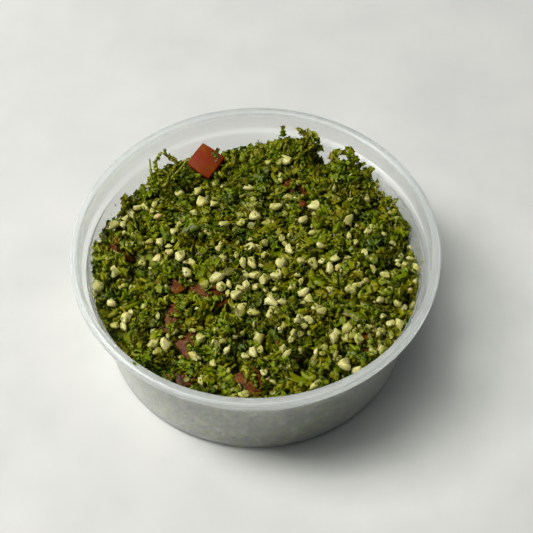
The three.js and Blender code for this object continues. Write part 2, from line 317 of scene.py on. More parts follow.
def hold_flats(outline, gap, shortest):
    """Add a point just inside both ends of each long side, so that it stays flat up to its arcs."""
    held = [outline[0]]
    for here, after in zip(outline, outline[1:]):
        length = math.dist(here, after)
        for share in ((gap / length, 1 - gap / length) if length > shortest else ()):
            held.append(tuple(a + share * (b - a) for a, b in zip(here, after)))
        held.append(after)
    return held


tub_outline = hold_flats(tub_outline, gap=0.1, shortest=0.9)
print("tub outline:", len(tub_outline), "points")

# %% Spin the tub
def spin_outline(name, outline, steps):
    """Draw an outline in the XZ plane by extruding one point along it, then spin it round Z."""
    start_fresh()
    bpy.ops.mesh.primitive_plane_add(size=1 * MM)
    piece = bpy.context.object
    piece.name = name
    bpy.ops.object.mode_set(mode="EDIT")
    bpy.ops.mesh.merge(type="CENTER")
    first = Vector((outline[0][0], 0, outline[0][1])) * MM
    bpy.ops.transform.translate(value=first)
    for here, after in zip(outline, outline[1:]):
        step = Vector((after[0] - here[0], 0, after[1] - here[1])) * MM
        bpy.ops.mesh.extrude_region_move(TRANSFORM_OT_translate={"value": step})
    bpy.ops.mesh.select_all(action="SELECT")
    bpy.ops.mesh.spin(steps=steps, angle=math.tau, center=(0, 0, 0), axis=(0, 0, 1))
    bpy.ops.mesh.select_all(action="SELECT")
    bpy.ops.mesh.remove_doubles(threshold=0.001 * MM)
    bpy.ops.mesh.normals_make_consistent(inside=False)
    bpy.ops.object.mode_set(mode="OBJECT")
    return piece


tub = spin_outline("deli_tub", tub_outline, steps=192)
bpy.ops.object.shade_smooth_by_angle(angle=math.radians(50))
print("tub faces:", len(tub.data.polygons))

# %% [markdown]
# ## Translucent polypropylene
# Natural polypropylene is milky: its tiny crystals scatter light, so what lies behind it is
# seen blurred and pale, and the rim glows where light runs along it. Two things make it here:
# a body that lets blurred light through (transmission with some roughness), and a share of
# white scatter that is lit from behind. That share is written on the points of the mesh, because
# it grows with the plastic's depth: little in the wall, more in the lip, most at its outer edge.
# The mould's polish leaves a soft sheen on top.

# %% Tub material
def polypropylene_moulded():
    """Natural polypropylene, injection moulded: cool, milky, softly glossy."""
    material, output = new_material("polypropylene_moulded")
    place = add_node(material, "ShaderNodeTexCoord")
    # The melt leaves faint waves about 4 mm apart in the wall.
    waves = add_node(material, "ShaderNodeTexNoise", {"Vector": place.outputs["Object"]},
                     Scale=250.0, Detail=3.0, Roughness=0.55)
    bump = add_node(material, "ShaderNodeBump", {"Height": waves.outputs["Fac"]},
                    Strength=0.04, Distance=0.0003)
    body = add_node(material, "ShaderNodeBsdfPrincipled", {"Normal": bump.outputs[0]},
                    Base_Color=linear("fdfefd"), Roughness=0.26, IOR=1.34,
                    Transmission_Weight=0.97, Coat_Weight=0.4, Coat_Roughness=0.15)
    through = add_node(material, "ShaderNodeBsdfTranslucent", Color=linear("f4f8f8"))
    milk = add_node(material, "ShaderNodeBsdfDiffuse", Color=linear("f4f8f8"))
    scatter = add_node(material, "ShaderNodeMixShader",
                       {1: through.outputs[0], 2: milk.outputs[0]}, Fac=0.4)
    thick = add_node(material, "ShaderNodeAttribute", attribute_name="milk")
    mix = add_node(material, "ShaderNodeMixShader",
                   {0: thick.outputs["Fac"], 1: body.outputs[0], 2: scatter.outputs[0]})
    # Light passes to the salad and the table as through a pale filter, which leaves a soft shadow.
    path = add_node(material, "ShaderNodeLightPath")
    clear = add_node(material, "ShaderNodeBsdfTransparent", Color=linear("c9ccc8"))
    shadow = add_node(material, "ShaderNodeMixShader",
                      {0: path.outputs["Is Shadow Ray"], 1: mix.outputs[0], 2: clear.outputs[0]})
    material.node_tree.links.new(shadow.outputs[0], output.inputs["Surface"])
    return material


wall_milk = 0.09
lip_milk = 0.26
edge_milk = 0.6
edge_width = 0.6
margin = 0.1
milk_share = tub.data.attributes.new("milk", "FLOAT", "POINT")
for corner, share in zip(tub.data.vertices, milk_share.data):
    radius, z = corner.co.xy.length / MM, corner.co.z / MM
    in_lip = z > tub_height - skirt_drop - margin and radius > lip_inner_radius + margin
    on_edge = z > tub_height - edge_width and radius > rim_radius - edge_width
    share.value = edge_milk if on_edge else lip_milk if in_lip else wall_milk
tub.data.materials.append(polypropylene_moulded())
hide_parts("tub")
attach(tub, "root")
print("tub material:", tub.data.materials[0].name)

# %% [markdown]
# ## The heap's shape
# The salad is mounded towards the middle and pressed into the tub, with a few clumps that stand
# up near the wall. One function gives its height anywhere, and everything that is strewn on the
# salad asks it where the top is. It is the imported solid's rule, except that the solid also has a
# clump where the sprig stands: here the sprig is built of its own scraps.

# %% Heap height
edge_height = 30.0
mound_height = 35.6
mound_power = 2.4
clumps = [
    # bearing in degrees, distance from the middle, rise, width
    (72, 47, 5.6, 5.5),
    (50, 47, 4.0, 5.0),
    (61, 51, -4.0, 3.2),
    (124, 48, -0.6, 3.6),
    (98, 49, -2.0, 5.0),
    (146, 50, -2.6, 7.0),
    (177, 50, 4.0, 4.0),
    (165, 43, -3.0, 3.5),
    (198, 50, 4.0, 5.0),
    (12, 51, -4.0, 5.0),
    (345, 51, -3.4, 4.5),
    (320, 44, 1.6, 9.0),
    (230, 33, -1.2, 8.0),
]


def heap_height(x, y):
    """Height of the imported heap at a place, in millimetres."""
    share = np.minimum(1, np.hypot(x, y) / ledge_inner_radius)
    z = mound_height + (edge_height - mound_height) * share ** mound_power
    for bearing, reach, rise, width in clumps:
        middle_x = reach * math.cos(math.radians(bearing))
        middle_y = reach * math.sin(math.radians(bearing))
        gap = (x - middle_x) ** 2 + (y - middle_y) ** 2
        z = z + rise * np.exp(-gap / (2 * width ** 2))
    z = z + 0.7 * np.sin(x / 3.1 + 1.3) * np.sin(y / 3.7 - 0.4)
    return z + 0.5 * np.sin((x + y) / 2.1 + 2) * np.sin((x - y) / 1.9)


print("heap height in the middle:", round(float(heap_height(0.0, 0.0)), 1), "mm")

# %% Lumps and pits of loose scraps
lump_count = 420
lump_x = dice_roll.uniform(-54, 54, lump_count)
lump_y = dice_roll.uniform(-54, 54, lump_count)
lump_width = dice_roll.uniform(1.2, 3.0, lump_count)
lump_rise = dice_roll.uniform(-1.8, 1.8, lump_count)

# The larger hollows: across and down in dots, half width and depth in millimetres.
hollows = [(142, 254, 2.6, 5.4), (133, 252, 1.8, 3.6), (186, 187, 2.2, 4.2), (236, 367, 2.2, 4.6),
           (306, 356, 2.8, 5.0), (267, 350, 1.8, 3.6), (306, 190, 1.6, 3.4), (273, 262, 1.1, 2.4),
           (240, 238, 1.9, 3.8), (397, 264, 1.8, 3.8), (120, 338, 1.8, 3.2), (154, 376, 2.0, 3.4),
           (315, 271, 1.4, 3.4), (160, 326, 1.3, 3.2), (224, 312, 2.2, 3.6), (378, 207, 1.8, 3.4),
           (215, 392, 1.5, 2.8), (267, 201, 1.6, 3.4), (348, 226, 1.3, 2.8), (405, 293, 1.6, 3.6),
           (139, 299, 1.3, 3.0), (180, 349, 1.7, 3.2), (287, 338, 1.6, 3.4), (377, 360, 1.6, 2.8),
           (208, 180, 2.0, 2.6), (216, 172, 1.8, 1.8), (320, 366, 1.4, 3.0), (330, 232, 1.5, 3.0),
           (150, 232, 1.3, 2.6), (232, 205, 1.4, 2.8), (345, 350, 1.5, 2.8), (205, 322, 1.5, 2.8),
           (286, 222, 1.4, 2.6), (358, 300, 1.5, 3.0), (248, 325, 1.6, 3.0), (118, 292, 1.3, 2.6)]
pit_count = 120
pit_x = list(dice_roll.uniform(-52, 52, pit_count))
pit_y = list(dice_roll.uniform(-52, 52, pit_count))
pit_width = list(dice_roll.uniform(0.6, 1.4, pit_count))
pit_depth = list(dice_roll.uniform(1.0, 2.6, pit_count))
for across, down, width, depth in hollows:
    x, y = under_frame(across, down, heap_height)
    pit_x.append(x)
    pit_y.append(y)
    pit_width.append(width)
    pit_depth.append(depth)


def soft_bumps(x, y, bump_x, bump_y, width, rise):
    """Sum of many small round bumps at each place."""
    total = np.zeros_like(x)
    for cx, cy, w, h in zip(bump_x, bump_y, width, rise):
        total += h * np.exp(-((x - cx) ** 2 + (y - cy) ** 2) / (2 * w * w))
    return total


def pit_at(x, y):
    """How deep the nearest pits reach at a place, in millimetres."""
    return soft_bumps(x, y, pit_x, pit_y, pit_width, pit_depth)


def salad_top(x, y):
    """Height of the loose top of the salad: the heap, its lumps and its pits."""
    loose = soft_bumps(x, y, lump_x, lump_y, lump_width, lump_rise)
    return heap_height(x, y) + loose - pit_at(x, y)


print("lumps:", lump_count, "pits:", pit_count)

# %% [markdown]
# ## The dark core
# Between the scraps one looks into shadow, not into an empty tub. A closed core fills the heap
# a few millimetres under its top and just inside the wall. It starts as a circle on the tub's
# floor, is extruded ring by ring up the wall and then inwards, and its top is set to the heap's
# height less the depth of the loose layer.

# %% Model the core
core_depth = 2.3
core_gap = 1.5
core_floor = floor_height + 0.1
core_foot_radius = floor_radius - 3.5
core_flat_top = 27.5
start_fresh()
bpy.ops.mesh.primitive_circle_add(vertices=144, radius=core_foot_radius * MM,
                                  fill_type="NGON", location=(0, 0, core_floor * MM))
core = bpy.context.object
core.name = "salad_core"
bpy.ops.object.transform_apply(location=True)
bpy.ops.object.mode_set(mode="EDIT")
bpy.ops.mesh.poke()
bpy.ops.mesh.select_all(action="DESELECT")
bpy.ops.mesh.select_mode(type="EDGE")
shape = bmesh.from_edit_mesh(core.data)
for edge in shape.edges:
    edge.select = edge.is_boundary
bmesh.update_edit_mesh(core.data)
ring_steps = [(float(wall_radius(z)) - core_gap, z) for z in (3.2, 8, 13, 18, 23, 27)]
ring_steps += [(r, core_flat_top) for r in np.arange(49.5, 0.9, -1.5)]
ring_radius = core_foot_radius
ring_z = core_floor
for radius, z in ring_steps:
    bpy.ops.mesh.extrude_region_move(TRANSFORM_OT_translate={"value": (0, 0, (z - ring_z) * MM)})
    grow = radius / ring_radius
    bpy.ops.transform.resize(value=(grow, grow, 1), center_override=(0, 0, z * MM))
    ring_radius, ring_z = radius, z
bpy.ops.mesh.edge_face_add()
bpy.ops.mesh.poke()
bpy.ops.mesh.select_all(action="SELECT")
bpy.ops.mesh.normals_make_consistent(inside=False)
bpy.ops.object.mode_set(mode="OBJECT")
for point in core.data.vertices:
    if point.co.z > (core_flat_top - 0.3) * MM:
        x, y = np.array([point.co.x / MM]), np.array([point.co.y / MM])
        point.co.z = float(heap_height(x, y)[0] - core_depth - 0.9 * pit_at(x, y)[0]) * MM
bpy.ops.object.shade_smooth_by_angle(angle=math.radians(60))
print("core faces:", len(core.data.polygons))

# %% Core material
def packed_salad_in_shadow():
    """Packed chopped parsley seen only in gaps: wet green with brown and pale flecks, painted darker
    than the loose leaves as painted shade.
    """
    material, output = new_material("packed_salad_in_shadow")
    place = add_node(material, "ShaderNodeTexCoord")
    # Scraps are about 2 mm across, so 500 of them lie side by side in a metre.
    scraps = add_node(material, "ShaderNodeTexVoronoi", {"Vector": place.outputs["Object"]},
                      Scale=500.0)
    ramp = add_node(material, "ShaderNodeValToRGB", {"Fac": scraps.outputs["Color"]})
    colour_steps(ramp, (0.0, "464c22"), (0.45, "626824"), (0.75, "747c26"), (1.0, "8e8c46"))
    bump = add_node(material, "ShaderNodeBump", {"Height": scraps.outputs["Distance"]},
                    Strength=0.7, Distance=0.0008)
    skin = add_node(material, "ShaderNodeBsdfPrincipled",
                    {"Base Color": ramp.outputs[0], "Normal": bump.outputs[0]},
                    Roughness=0.8, Specular_IOR_Level=0.06)
    material.node_tree.links.new(skin.outputs[0], output.inputs["Surface"])
    return material


core.data.materials.append(packed_salad_in_shadow())
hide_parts("salad_heap")
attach(core, "root")
print("core material:", core.data.materials[0].name)

# %% [markdown]
# ## Tomato
# The dice are cut from the flesh just under the skin. The free one shows its skin: deep red,
# slightly domed and dulled by the dressing. The sunk ones show wet flesh, browner and mottled
# with oil and juice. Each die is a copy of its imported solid, so it keeps its place, with its
# loose triangles merged and its edges rounded by a bevel.

# %% Tomato materials
def tomato_material(name, steps, patch_scale, roughness, relief):
    """Tomato with soft patches of colour and an uneven surface that oil keeps from shining."""
    material, output = new_material(name)
    place = add_node(material, "ShaderNodeTexCoord")
    patches = add_node(material, "ShaderNodeTexNoise", {"Vector": place.outputs["Object"]},
                       Scale=patch_scale, Detail=3.0, Roughness=0.55)
    ramp = add_node(material, "ShaderNodeValToRGB", {"Fac": patches.outputs["Fac"]})
    colour_steps(ramp, *steps)
    # Cells of the flesh show as grains of about 0.7 mm.
    cells = add_node(material, "ShaderNodeTexNoise", {"Vector": place.outputs["Object"]},
                     Scale=1400.0, Detail=1.0)
    bump = add_node(material, "ShaderNodeBump", {"Height": cells.outputs["Fac"]},
                    Strength=relief, Distance=0.0003)
    skin = add_node(material, "ShaderNodeBsdfPrincipled",
                    {"Base Color": ramp.outputs[0], "Normal": bump.outputs[0]},
                    Roughness=roughness, IOR=1.4, Specular_IOR_Level=0.12)
    material.node_tree.links.new(skin.outputs[0], output.inputs["Surface"])
    return material


# Firm skin side: deep red, more orange where the flesh shows through, about 6 mm apart.
tomato_skin = tomato_material("tomato_skin_ripe", [(0.36, "783a06"), (0.47, "762c08"),
                                                   (0.6, "742408")], 170.0, 0.55, 0.25)
# Wet flesh under the parsley: brown-red with orange and dark juice between, about 3 mm apart.
tomato_flesh = tomato_material("tomato_flesh_wet", [(0.36, "2e220c"), (0.47, "5c3014"),
                                                    (0.56, "643c16"), (0.66, "7a4c0a")],
                               330.0, 0.35, 1.0)
print("tomato materials:", tomato_skin.name, tomato_flesh.name)

# %% Round the tomato dice
free_die = "tomato_die_1"
die_names = sorted(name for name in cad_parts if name.startswith("tomato_die"))
die_solids = {}
for name in die_names:
    start_fresh()
    die = bpy.data.objects.new(name.replace("die", "piece"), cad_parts[name].data.copy())
    bpy.context.collection.objects.link(die)
    bpy.context.view_layer.objects.active = die
    die.select_set(True)
    bpy.ops.object.mode_set(mode="EDIT")
    bpy.ops.mesh.select_all(action="SELECT")
    bpy.ops.mesh.remove_doubles(threshold=0.001 * MM)
    bpy.ops.object.mode_set(mode="OBJECT")
    die.data.materials.clear()
    die.data.materials.append(tomato_skin if name == free_die else tomato_flesh)
    apply_modifier(die, "BEVEL", width=0.35 * MM, segments=2, limit_method="ANGLE",
                   angle_limit=math.radians(35))
    bpy.ops.object.shade_smooth_by_angle(angle=math.radians(45))
    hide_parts(name)
    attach(die, "root")
    corners = [corner.co / MM for corner in die.data.vertices]
    faces = [face.vertices[:] for face in die.data.polygons]
    die_solids[name] = BVHTree.FromPolygons(corners, faces)
print("tomato dice:", len(die_names))

# %% [markdown]
# ## What lies on the tomato
# All but one of the dice are sunk in the salad, and most of their tops are under parsley. So
# the scatters below need to know where a die is: a line is dropped from above at each place,
# and where it meets a sunk die, most of the scraps are lifted onto it.

# %% Tops of the dice
def die_top(x, y):
    """Height of the top of a sunk die under each place, or 0 where there is none."""
    well_above = 60
    tops = np.zeros(len(x))
    for number, (px, py) in enumerate(zip(x, y)):
        for name, solid in die_solids.items():
            if name == free_die:
                continue
            hit = solid.ray_cast(Vector((px, py, well_above)), Vector((0, 0, -1)))[0]
            if hit is not None:
                tops[number] = max(tops[number], hit.z)
    return tops


print("a die's top:", die_top(np.array([-15.0]), np.array([-11.8])).round(1))

# %% [markdown]
# ## Patterns and joined scatters
# A salad is thousands of scraps of a few kinds. Each kind is modelled a handful of times as a
# pattern, a small mesh about one unit across, and the patterns are then repeated with other
# sizes and turns. All copies of one kind are joined in one mesh straight from number arrays,
# which is quick and gives true geometry. Each point also carries a tint, from 0 to 1, that the
# material turns into a shade, so no two neighbours look the same. In the parsley the tint also
# holds painted shade, darker in the pits, and painted light, lighter towards a scrap's rim.

# %% Take a pattern and strew it
def take_pattern(piece):
    """Read a small mesh as points, triangles and nearness to its rim, and remove the object."""
    start_fresh()
    mesh = piece.data
    mesh.calc_loop_triangles()
    points = np.array([v.co[:] for v in mesh.vertices])
    triangles = np.array([t.vertices[:] for t in mesh.loop_triangles])
    rim = np.linalg.norm(points - points.mean(0), axis=1)
    bpy.data.objects.remove(piece)
    return points, triangles, rim / rim.max()


def bent_pattern(piece, axis, degrees):
    """Turn the normals of a finished mesh outwards, bend it and take it as a pattern."""
    bpy.ops.mesh.normals_make_consistent(inside=False)
    bpy.ops.object.mode_set(mode="OBJECT")
    apply_modifier(piece, "SIMPLE_DEFORM", deform_method="BEND", deform_axis=axis,
                   angle=math.radians(degrees))
    return take_pattern(piece)


def stay_in_tub(points):
    """Press any point that would cross the wall or the floor back against it."""
    wall_gap = 0.06
    floor_gap = 0.05
    radius = np.hypot(points[:, 0], points[:, 1])
    limit = wall_radius(points[:, 2]) - wall_gap
    share = np.minimum(1, limit / np.maximum(radius, 0.001))
    points[:, 0] *= share
    points[:, 1] *= share
    points[:, 2] = np.maximum(points[:, 2], floor_height + floor_gap)
    return points


def strew(name, patterns, centres, turns, sizes, tints, material, painted_rim_light=0.0, smooth=False,
          inside=True):
    """Join turned, sized copies of the patterns in one mesh with a tint on each point."""
    which = dice_roll.integers(0, len(patterns), len(centres))
    all_points, all_triangles, all_tints, total = [], [], [], 0
    for number, (points, triangles, rim) in enumerate(patterns):
        mine = np.flatnonzero(which == number)
        placed = np.einsum("nij,npj->npi", turns[mine], points[None] * sizes[mine][:, None, :])
        placed = placed + centres[mine][:, None, :]
        step = total + np.arange(len(mine))[:, None, None] * len(points)
        all_points.append(placed.reshape(-1, 3))
        all_triangles.append((triangles[None] + step).reshape(-1, 3))
        # Points near a scrap's rim get a lighter tint: painted light, for light through the thin
        # edges of a leaf.
        all_tints.append((tints[mine][:, None] + painted_rim_light * (rim[None] - 0.6)).reshape(-1))
        total += len(mine) * len(points)
    points = np.concatenate(all_points)
    points = (stay_in_tub(points) if inside else points) * MM
    triangles = np.concatenate(all_triangles)
    mesh = bpy.data.meshes.new(name)
    mesh.from_pydata(points, [], triangles)
    tint = mesh.attributes.new("tint", "FLOAT", "POINT")
    tint.data.foreach_set("value", np.concatenate(all_tints).astype(np.float32))
    mesh.polygons.foreach_set("use_smooth", np.full(len(triangles), smooth))
    mesh.materials.append(material)
    piece = bpy.data.objects.new(name, mesh)
    bpy.context.collection.objects.link(piece)
    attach(piece, "root")
    print(name, "copies:", len(centres), "triangles:", len(triangles))
    return piece


print("strewing tools ready")

# %% Directions for the copies
def surface_slope(x, y, height):
    """Unit normals of a height rule at many places."""
    reach = 0.6
    slope_x = (height(x + reach, y) - height(x - reach, y)) / (2 * reach)
    slope_y = (height(x, y + reach) - height(x, y - reach)) / (2 * reach)
    normals = np.stack([-slope_x, -slope_y, np.ones_like(x)], -1)
    return normals / np.linalg.norm(normals, axis=1)[:, None]


def turned(normals, lean):
    """Rotation matrices whose Z leans away from the normals by the given angles in degrees."""
    count = len(normals)
    random = dice_roll.normal(size=(count, 3))
    across = np.cross(normals, random)
    across /= np.linalg.norm(across, axis=1)[:, None]
    angle = np.radians(lean)[:, None]
    axis = normals * np.cos(angle) + across * np.sin(angle)
    side = np.cross(axis, dice_roll.normal(size=(count, 3)))
    side /= np.linalg.norm(side, axis=1)[:, None]
    return np.stack([side, np.cross(axis, side), axis], -1)


def over_the_top(count, reach=52.2):
    """Random places spread evenly over the round top."""
    radius = reach * np.sqrt(dice_roll.random(count))
    angle = dice_roll.random(count) * math.tau
    return radius * np.cos(angle), radius * np.sin(angle)


print("example normal:", surface_slope(np.zeros(1), np.zeros(1), heap_height).round(2))

# %% [markdown]
# ## Chopped curly parsley
# Curly parsley is a frilled leaf. Chopped, it falls into toothed scraps of one to six
# millimetres that stay pleated and curled. Each pattern starts as a disc: an inset ring gives
# it a middle to bend about, an extrusion gives it a second skin, and the rim is closed by
# pulling both skins together. Then every other rim point is drawn in for the teeth and lifted
# for the pleats, and a bend curls the scrap. The smallest do without the ring.

# %% Leaf scrap patterns
def leaf_scrap(rim_points, ring, tooth, pleat, curl, seed):
    """One toothed, pleated and curled scrap of leaf, two units wide."""
    thickness = 0.14
    step = math.tau / rim_points

    def on_rim(co):
        return co.xy.length > 0.9

    def on_drawn_in(co):
        return on_rim(co) and round(math.atan2(co.y, co.x) / step) % 2 == 1

    start_fresh()
    bpy.ops.mesh.primitive_circle_add(vertices=rim_points, radius=1, fill_type="NGON")
    scrap = bpy.context.object
    bpy.ops.object.mode_set(mode="EDIT")
    if ring:
        bpy.ops.mesh.inset(thickness=0.45)
    bpy.ops.mesh.poke()
    bpy.ops.mesh.select_all(action="SELECT")
    bpy.ops.mesh.extrude_region_move(TRANSFORM_OT_translate={"value": (0, 0, thickness)})
    pick_points(scrap, on_rim)
    bpy.ops.transform.resize(value=(1, 1, 0), center_override=(0, 0, thickness / 2))
    bpy.ops.mesh.select_all(action="SELECT")
    bpy.ops.mesh.remove_doubles(threshold=0.001)
    pick_points(scrap, on_drawn_in)
    bpy.ops.transform.resize(value=(tooth, tooth, 1), center_override=(0, 0, 0))
    bpy.ops.transform.translate(value=(0, 0, pleat))
    bpy.ops.mesh.select_all(action="SELECT")
    bpy.ops.transform.vertex_random(offset=0.12, uniform=0.6, normal=0.0, seed=seed)
    return bent_pattern(scrap, "Y", curl)


frilled_leaves = [leaf_scrap(12, True, 0.72, 0.3, 80, 7), leaf_scrap(10, True, 0.76, 0.36, 120, 8),
                  leaf_scrap(14, True, 0.7, 0.22, 45, 9), leaf_scrap(12, True, 0.68, 0.4, 150, 10)]
large_leaves = [leaf_scrap(16, True, 0.8, 0.14, 80, 16), leaf_scrap(14, True, 0.76, 0.2, 130, 17),
                leaf_scrap(12, True, 0.84, 0.12, 40, 18)]
curly_scraps = [leaf_scrap(8, True, 0.74, 0.34, 100, 1), leaf_scrap(8, True, 0.7, 0.4, 60, 2),
                leaf_scrap(6, True, 0.78, 0.3, 130, 3), leaf_scrap(8, True, 0.76, 0.36, 75, 4),
                leaf_scrap(8, True, 0.68, 0.44, 35, 5), leaf_scrap(10, True, 0.74, 0.3, 115, 6)]
small_scraps = [leaf_scrap(8, False, 0.66, 0.4, 60, 11), leaf_scrap(6, False, 0.74, 0.5, 90, 12),
                leaf_scrap(6, False, 0.7, 0.35, 40, 13), leaf_scrap(8, False, 0.62, 0.3, 110, 14),
                leaf_scrap(6, False, 0.76, 0.5, 70, 15)]
crumb_shapes = [leaf_scrap(6, False, 0.6, 0.3, 40, 21), leaf_scrap(5, False, 0.8, 0.4, 60, 22)]
print("faces of the scraps:", [len(p[1]) for p in curly_scraps + small_scraps + crumb_shapes])

# %% Parsley material
def parsley_leaf_dressed():
    """Fresh parsley wet with oil and lemon: thin leaf, glossy, lit through at its edges."""
    material, output = new_material("parsley_leaf_dressed")
    tint = add_node(material, "ShaderNodeAttribute", attribute_name="tint")
    older = add_node(material, "ShaderNodeValToRGB", {"Fac": tint.outputs["Fac"]})
    colour_steps(older, (0.0, "46481c"), (0.25, "828410"), (0.55, "a8a604"), (0.8, "b8b414"),
                 (1.0, "cac64c"))
    younger = add_node(material, "ShaderNodeValToRGB", {"Fac": tint.outputs["Fac"]})
    colour_steps(younger, (0.0, "3a4a26"), (0.25, "6e861a"), (0.55, "92aa04"), (0.8, "aaba14"),
                 (1.0, "c4cc50"))
    place = add_node(material, "ShaderNodeTexCoord")
    # Old, yellower and young, greener leaves lie mixed in patches of about 5 mm.
    patches = add_node(material, "ShaderNodeTexNoise", {"Vector": place.outputs["Object"]},
                       Scale=200.0, Detail=2.0, Roughness=0.6)
    age = add_node(material, "ShaderNodeMapRange", {"Value": patches.outputs["Fac"]},
                   From_Min=0.39, From_Max=0.59, To_Min=0.0, To_Max=1.0)
    green = add_node(material, "ShaderNodeMixRGB",
                     {0: age.outputs[0], 1: older.outputs[0], 2: younger.outputs[0]})
    # Veins and bruises change the leaf's green every 1.5 mm or so.
    mottle = add_node(material, "ShaderNodeTexNoise", {"Vector": place.outputs["Object"]},
                      Scale=700.0, Detail=2.0, Roughness=0.6)
    shade = add_node(material, "ShaderNodeMapRange", {"Value": mottle.outputs["Fac"]},
                     From_Min=0.3, From_Max=0.7, To_Min=0.9, To_Max=1.12)
    colour = add_node(material, "ShaderNodeVectorMath",
                      {0: green.outputs[0], 1: shade.outputs[0]}, operation="MULTIPLY")
    # A curly leaf is crinkled between its veins, with a ridge every 0.8 mm.
    crinkles = add_node(material, "ShaderNodeTexNoise", {"Vector": place.outputs["Object"]},
                        Scale=1250.0, Detail=2.0, Roughness=0.6)
    bump = add_node(material, "ShaderNodeBump", {"Height": crinkles.outputs["Fac"]},
                    Strength=0.3, Distance=0.0005)
    skin = add_node(material, "ShaderNodeBsdfPrincipled",
                    {"Base Color": colour.outputs[0], "Normal": bump.outputs[0]},
                    Roughness=0.38, Specular_IOR_Level=0.5)
    through = add_node(material, "ShaderNodeBsdfTranslucent", {"Color": colour.outputs[0]})
    mix = add_node(material, "ShaderNodeMixShader",
                   {1: skin.outputs[0], 2: through.outputs[0]}, Fac=0.58)
    material.node_tree.links.new(mix.outputs[0], output.inputs["Surface"])
    return material


parsley = parsley_leaf_dressed()
print("parsley material:", parsley.name)

# %% [markdown]
# ## Where the large pieces lie
# Some grains, leaves and bare bits of tomato are large enough to know one by one. They are
# written down by where the camera sees them, and the fine scraps keep off them, or the whole
# salad would vanish under its smallest pieces.

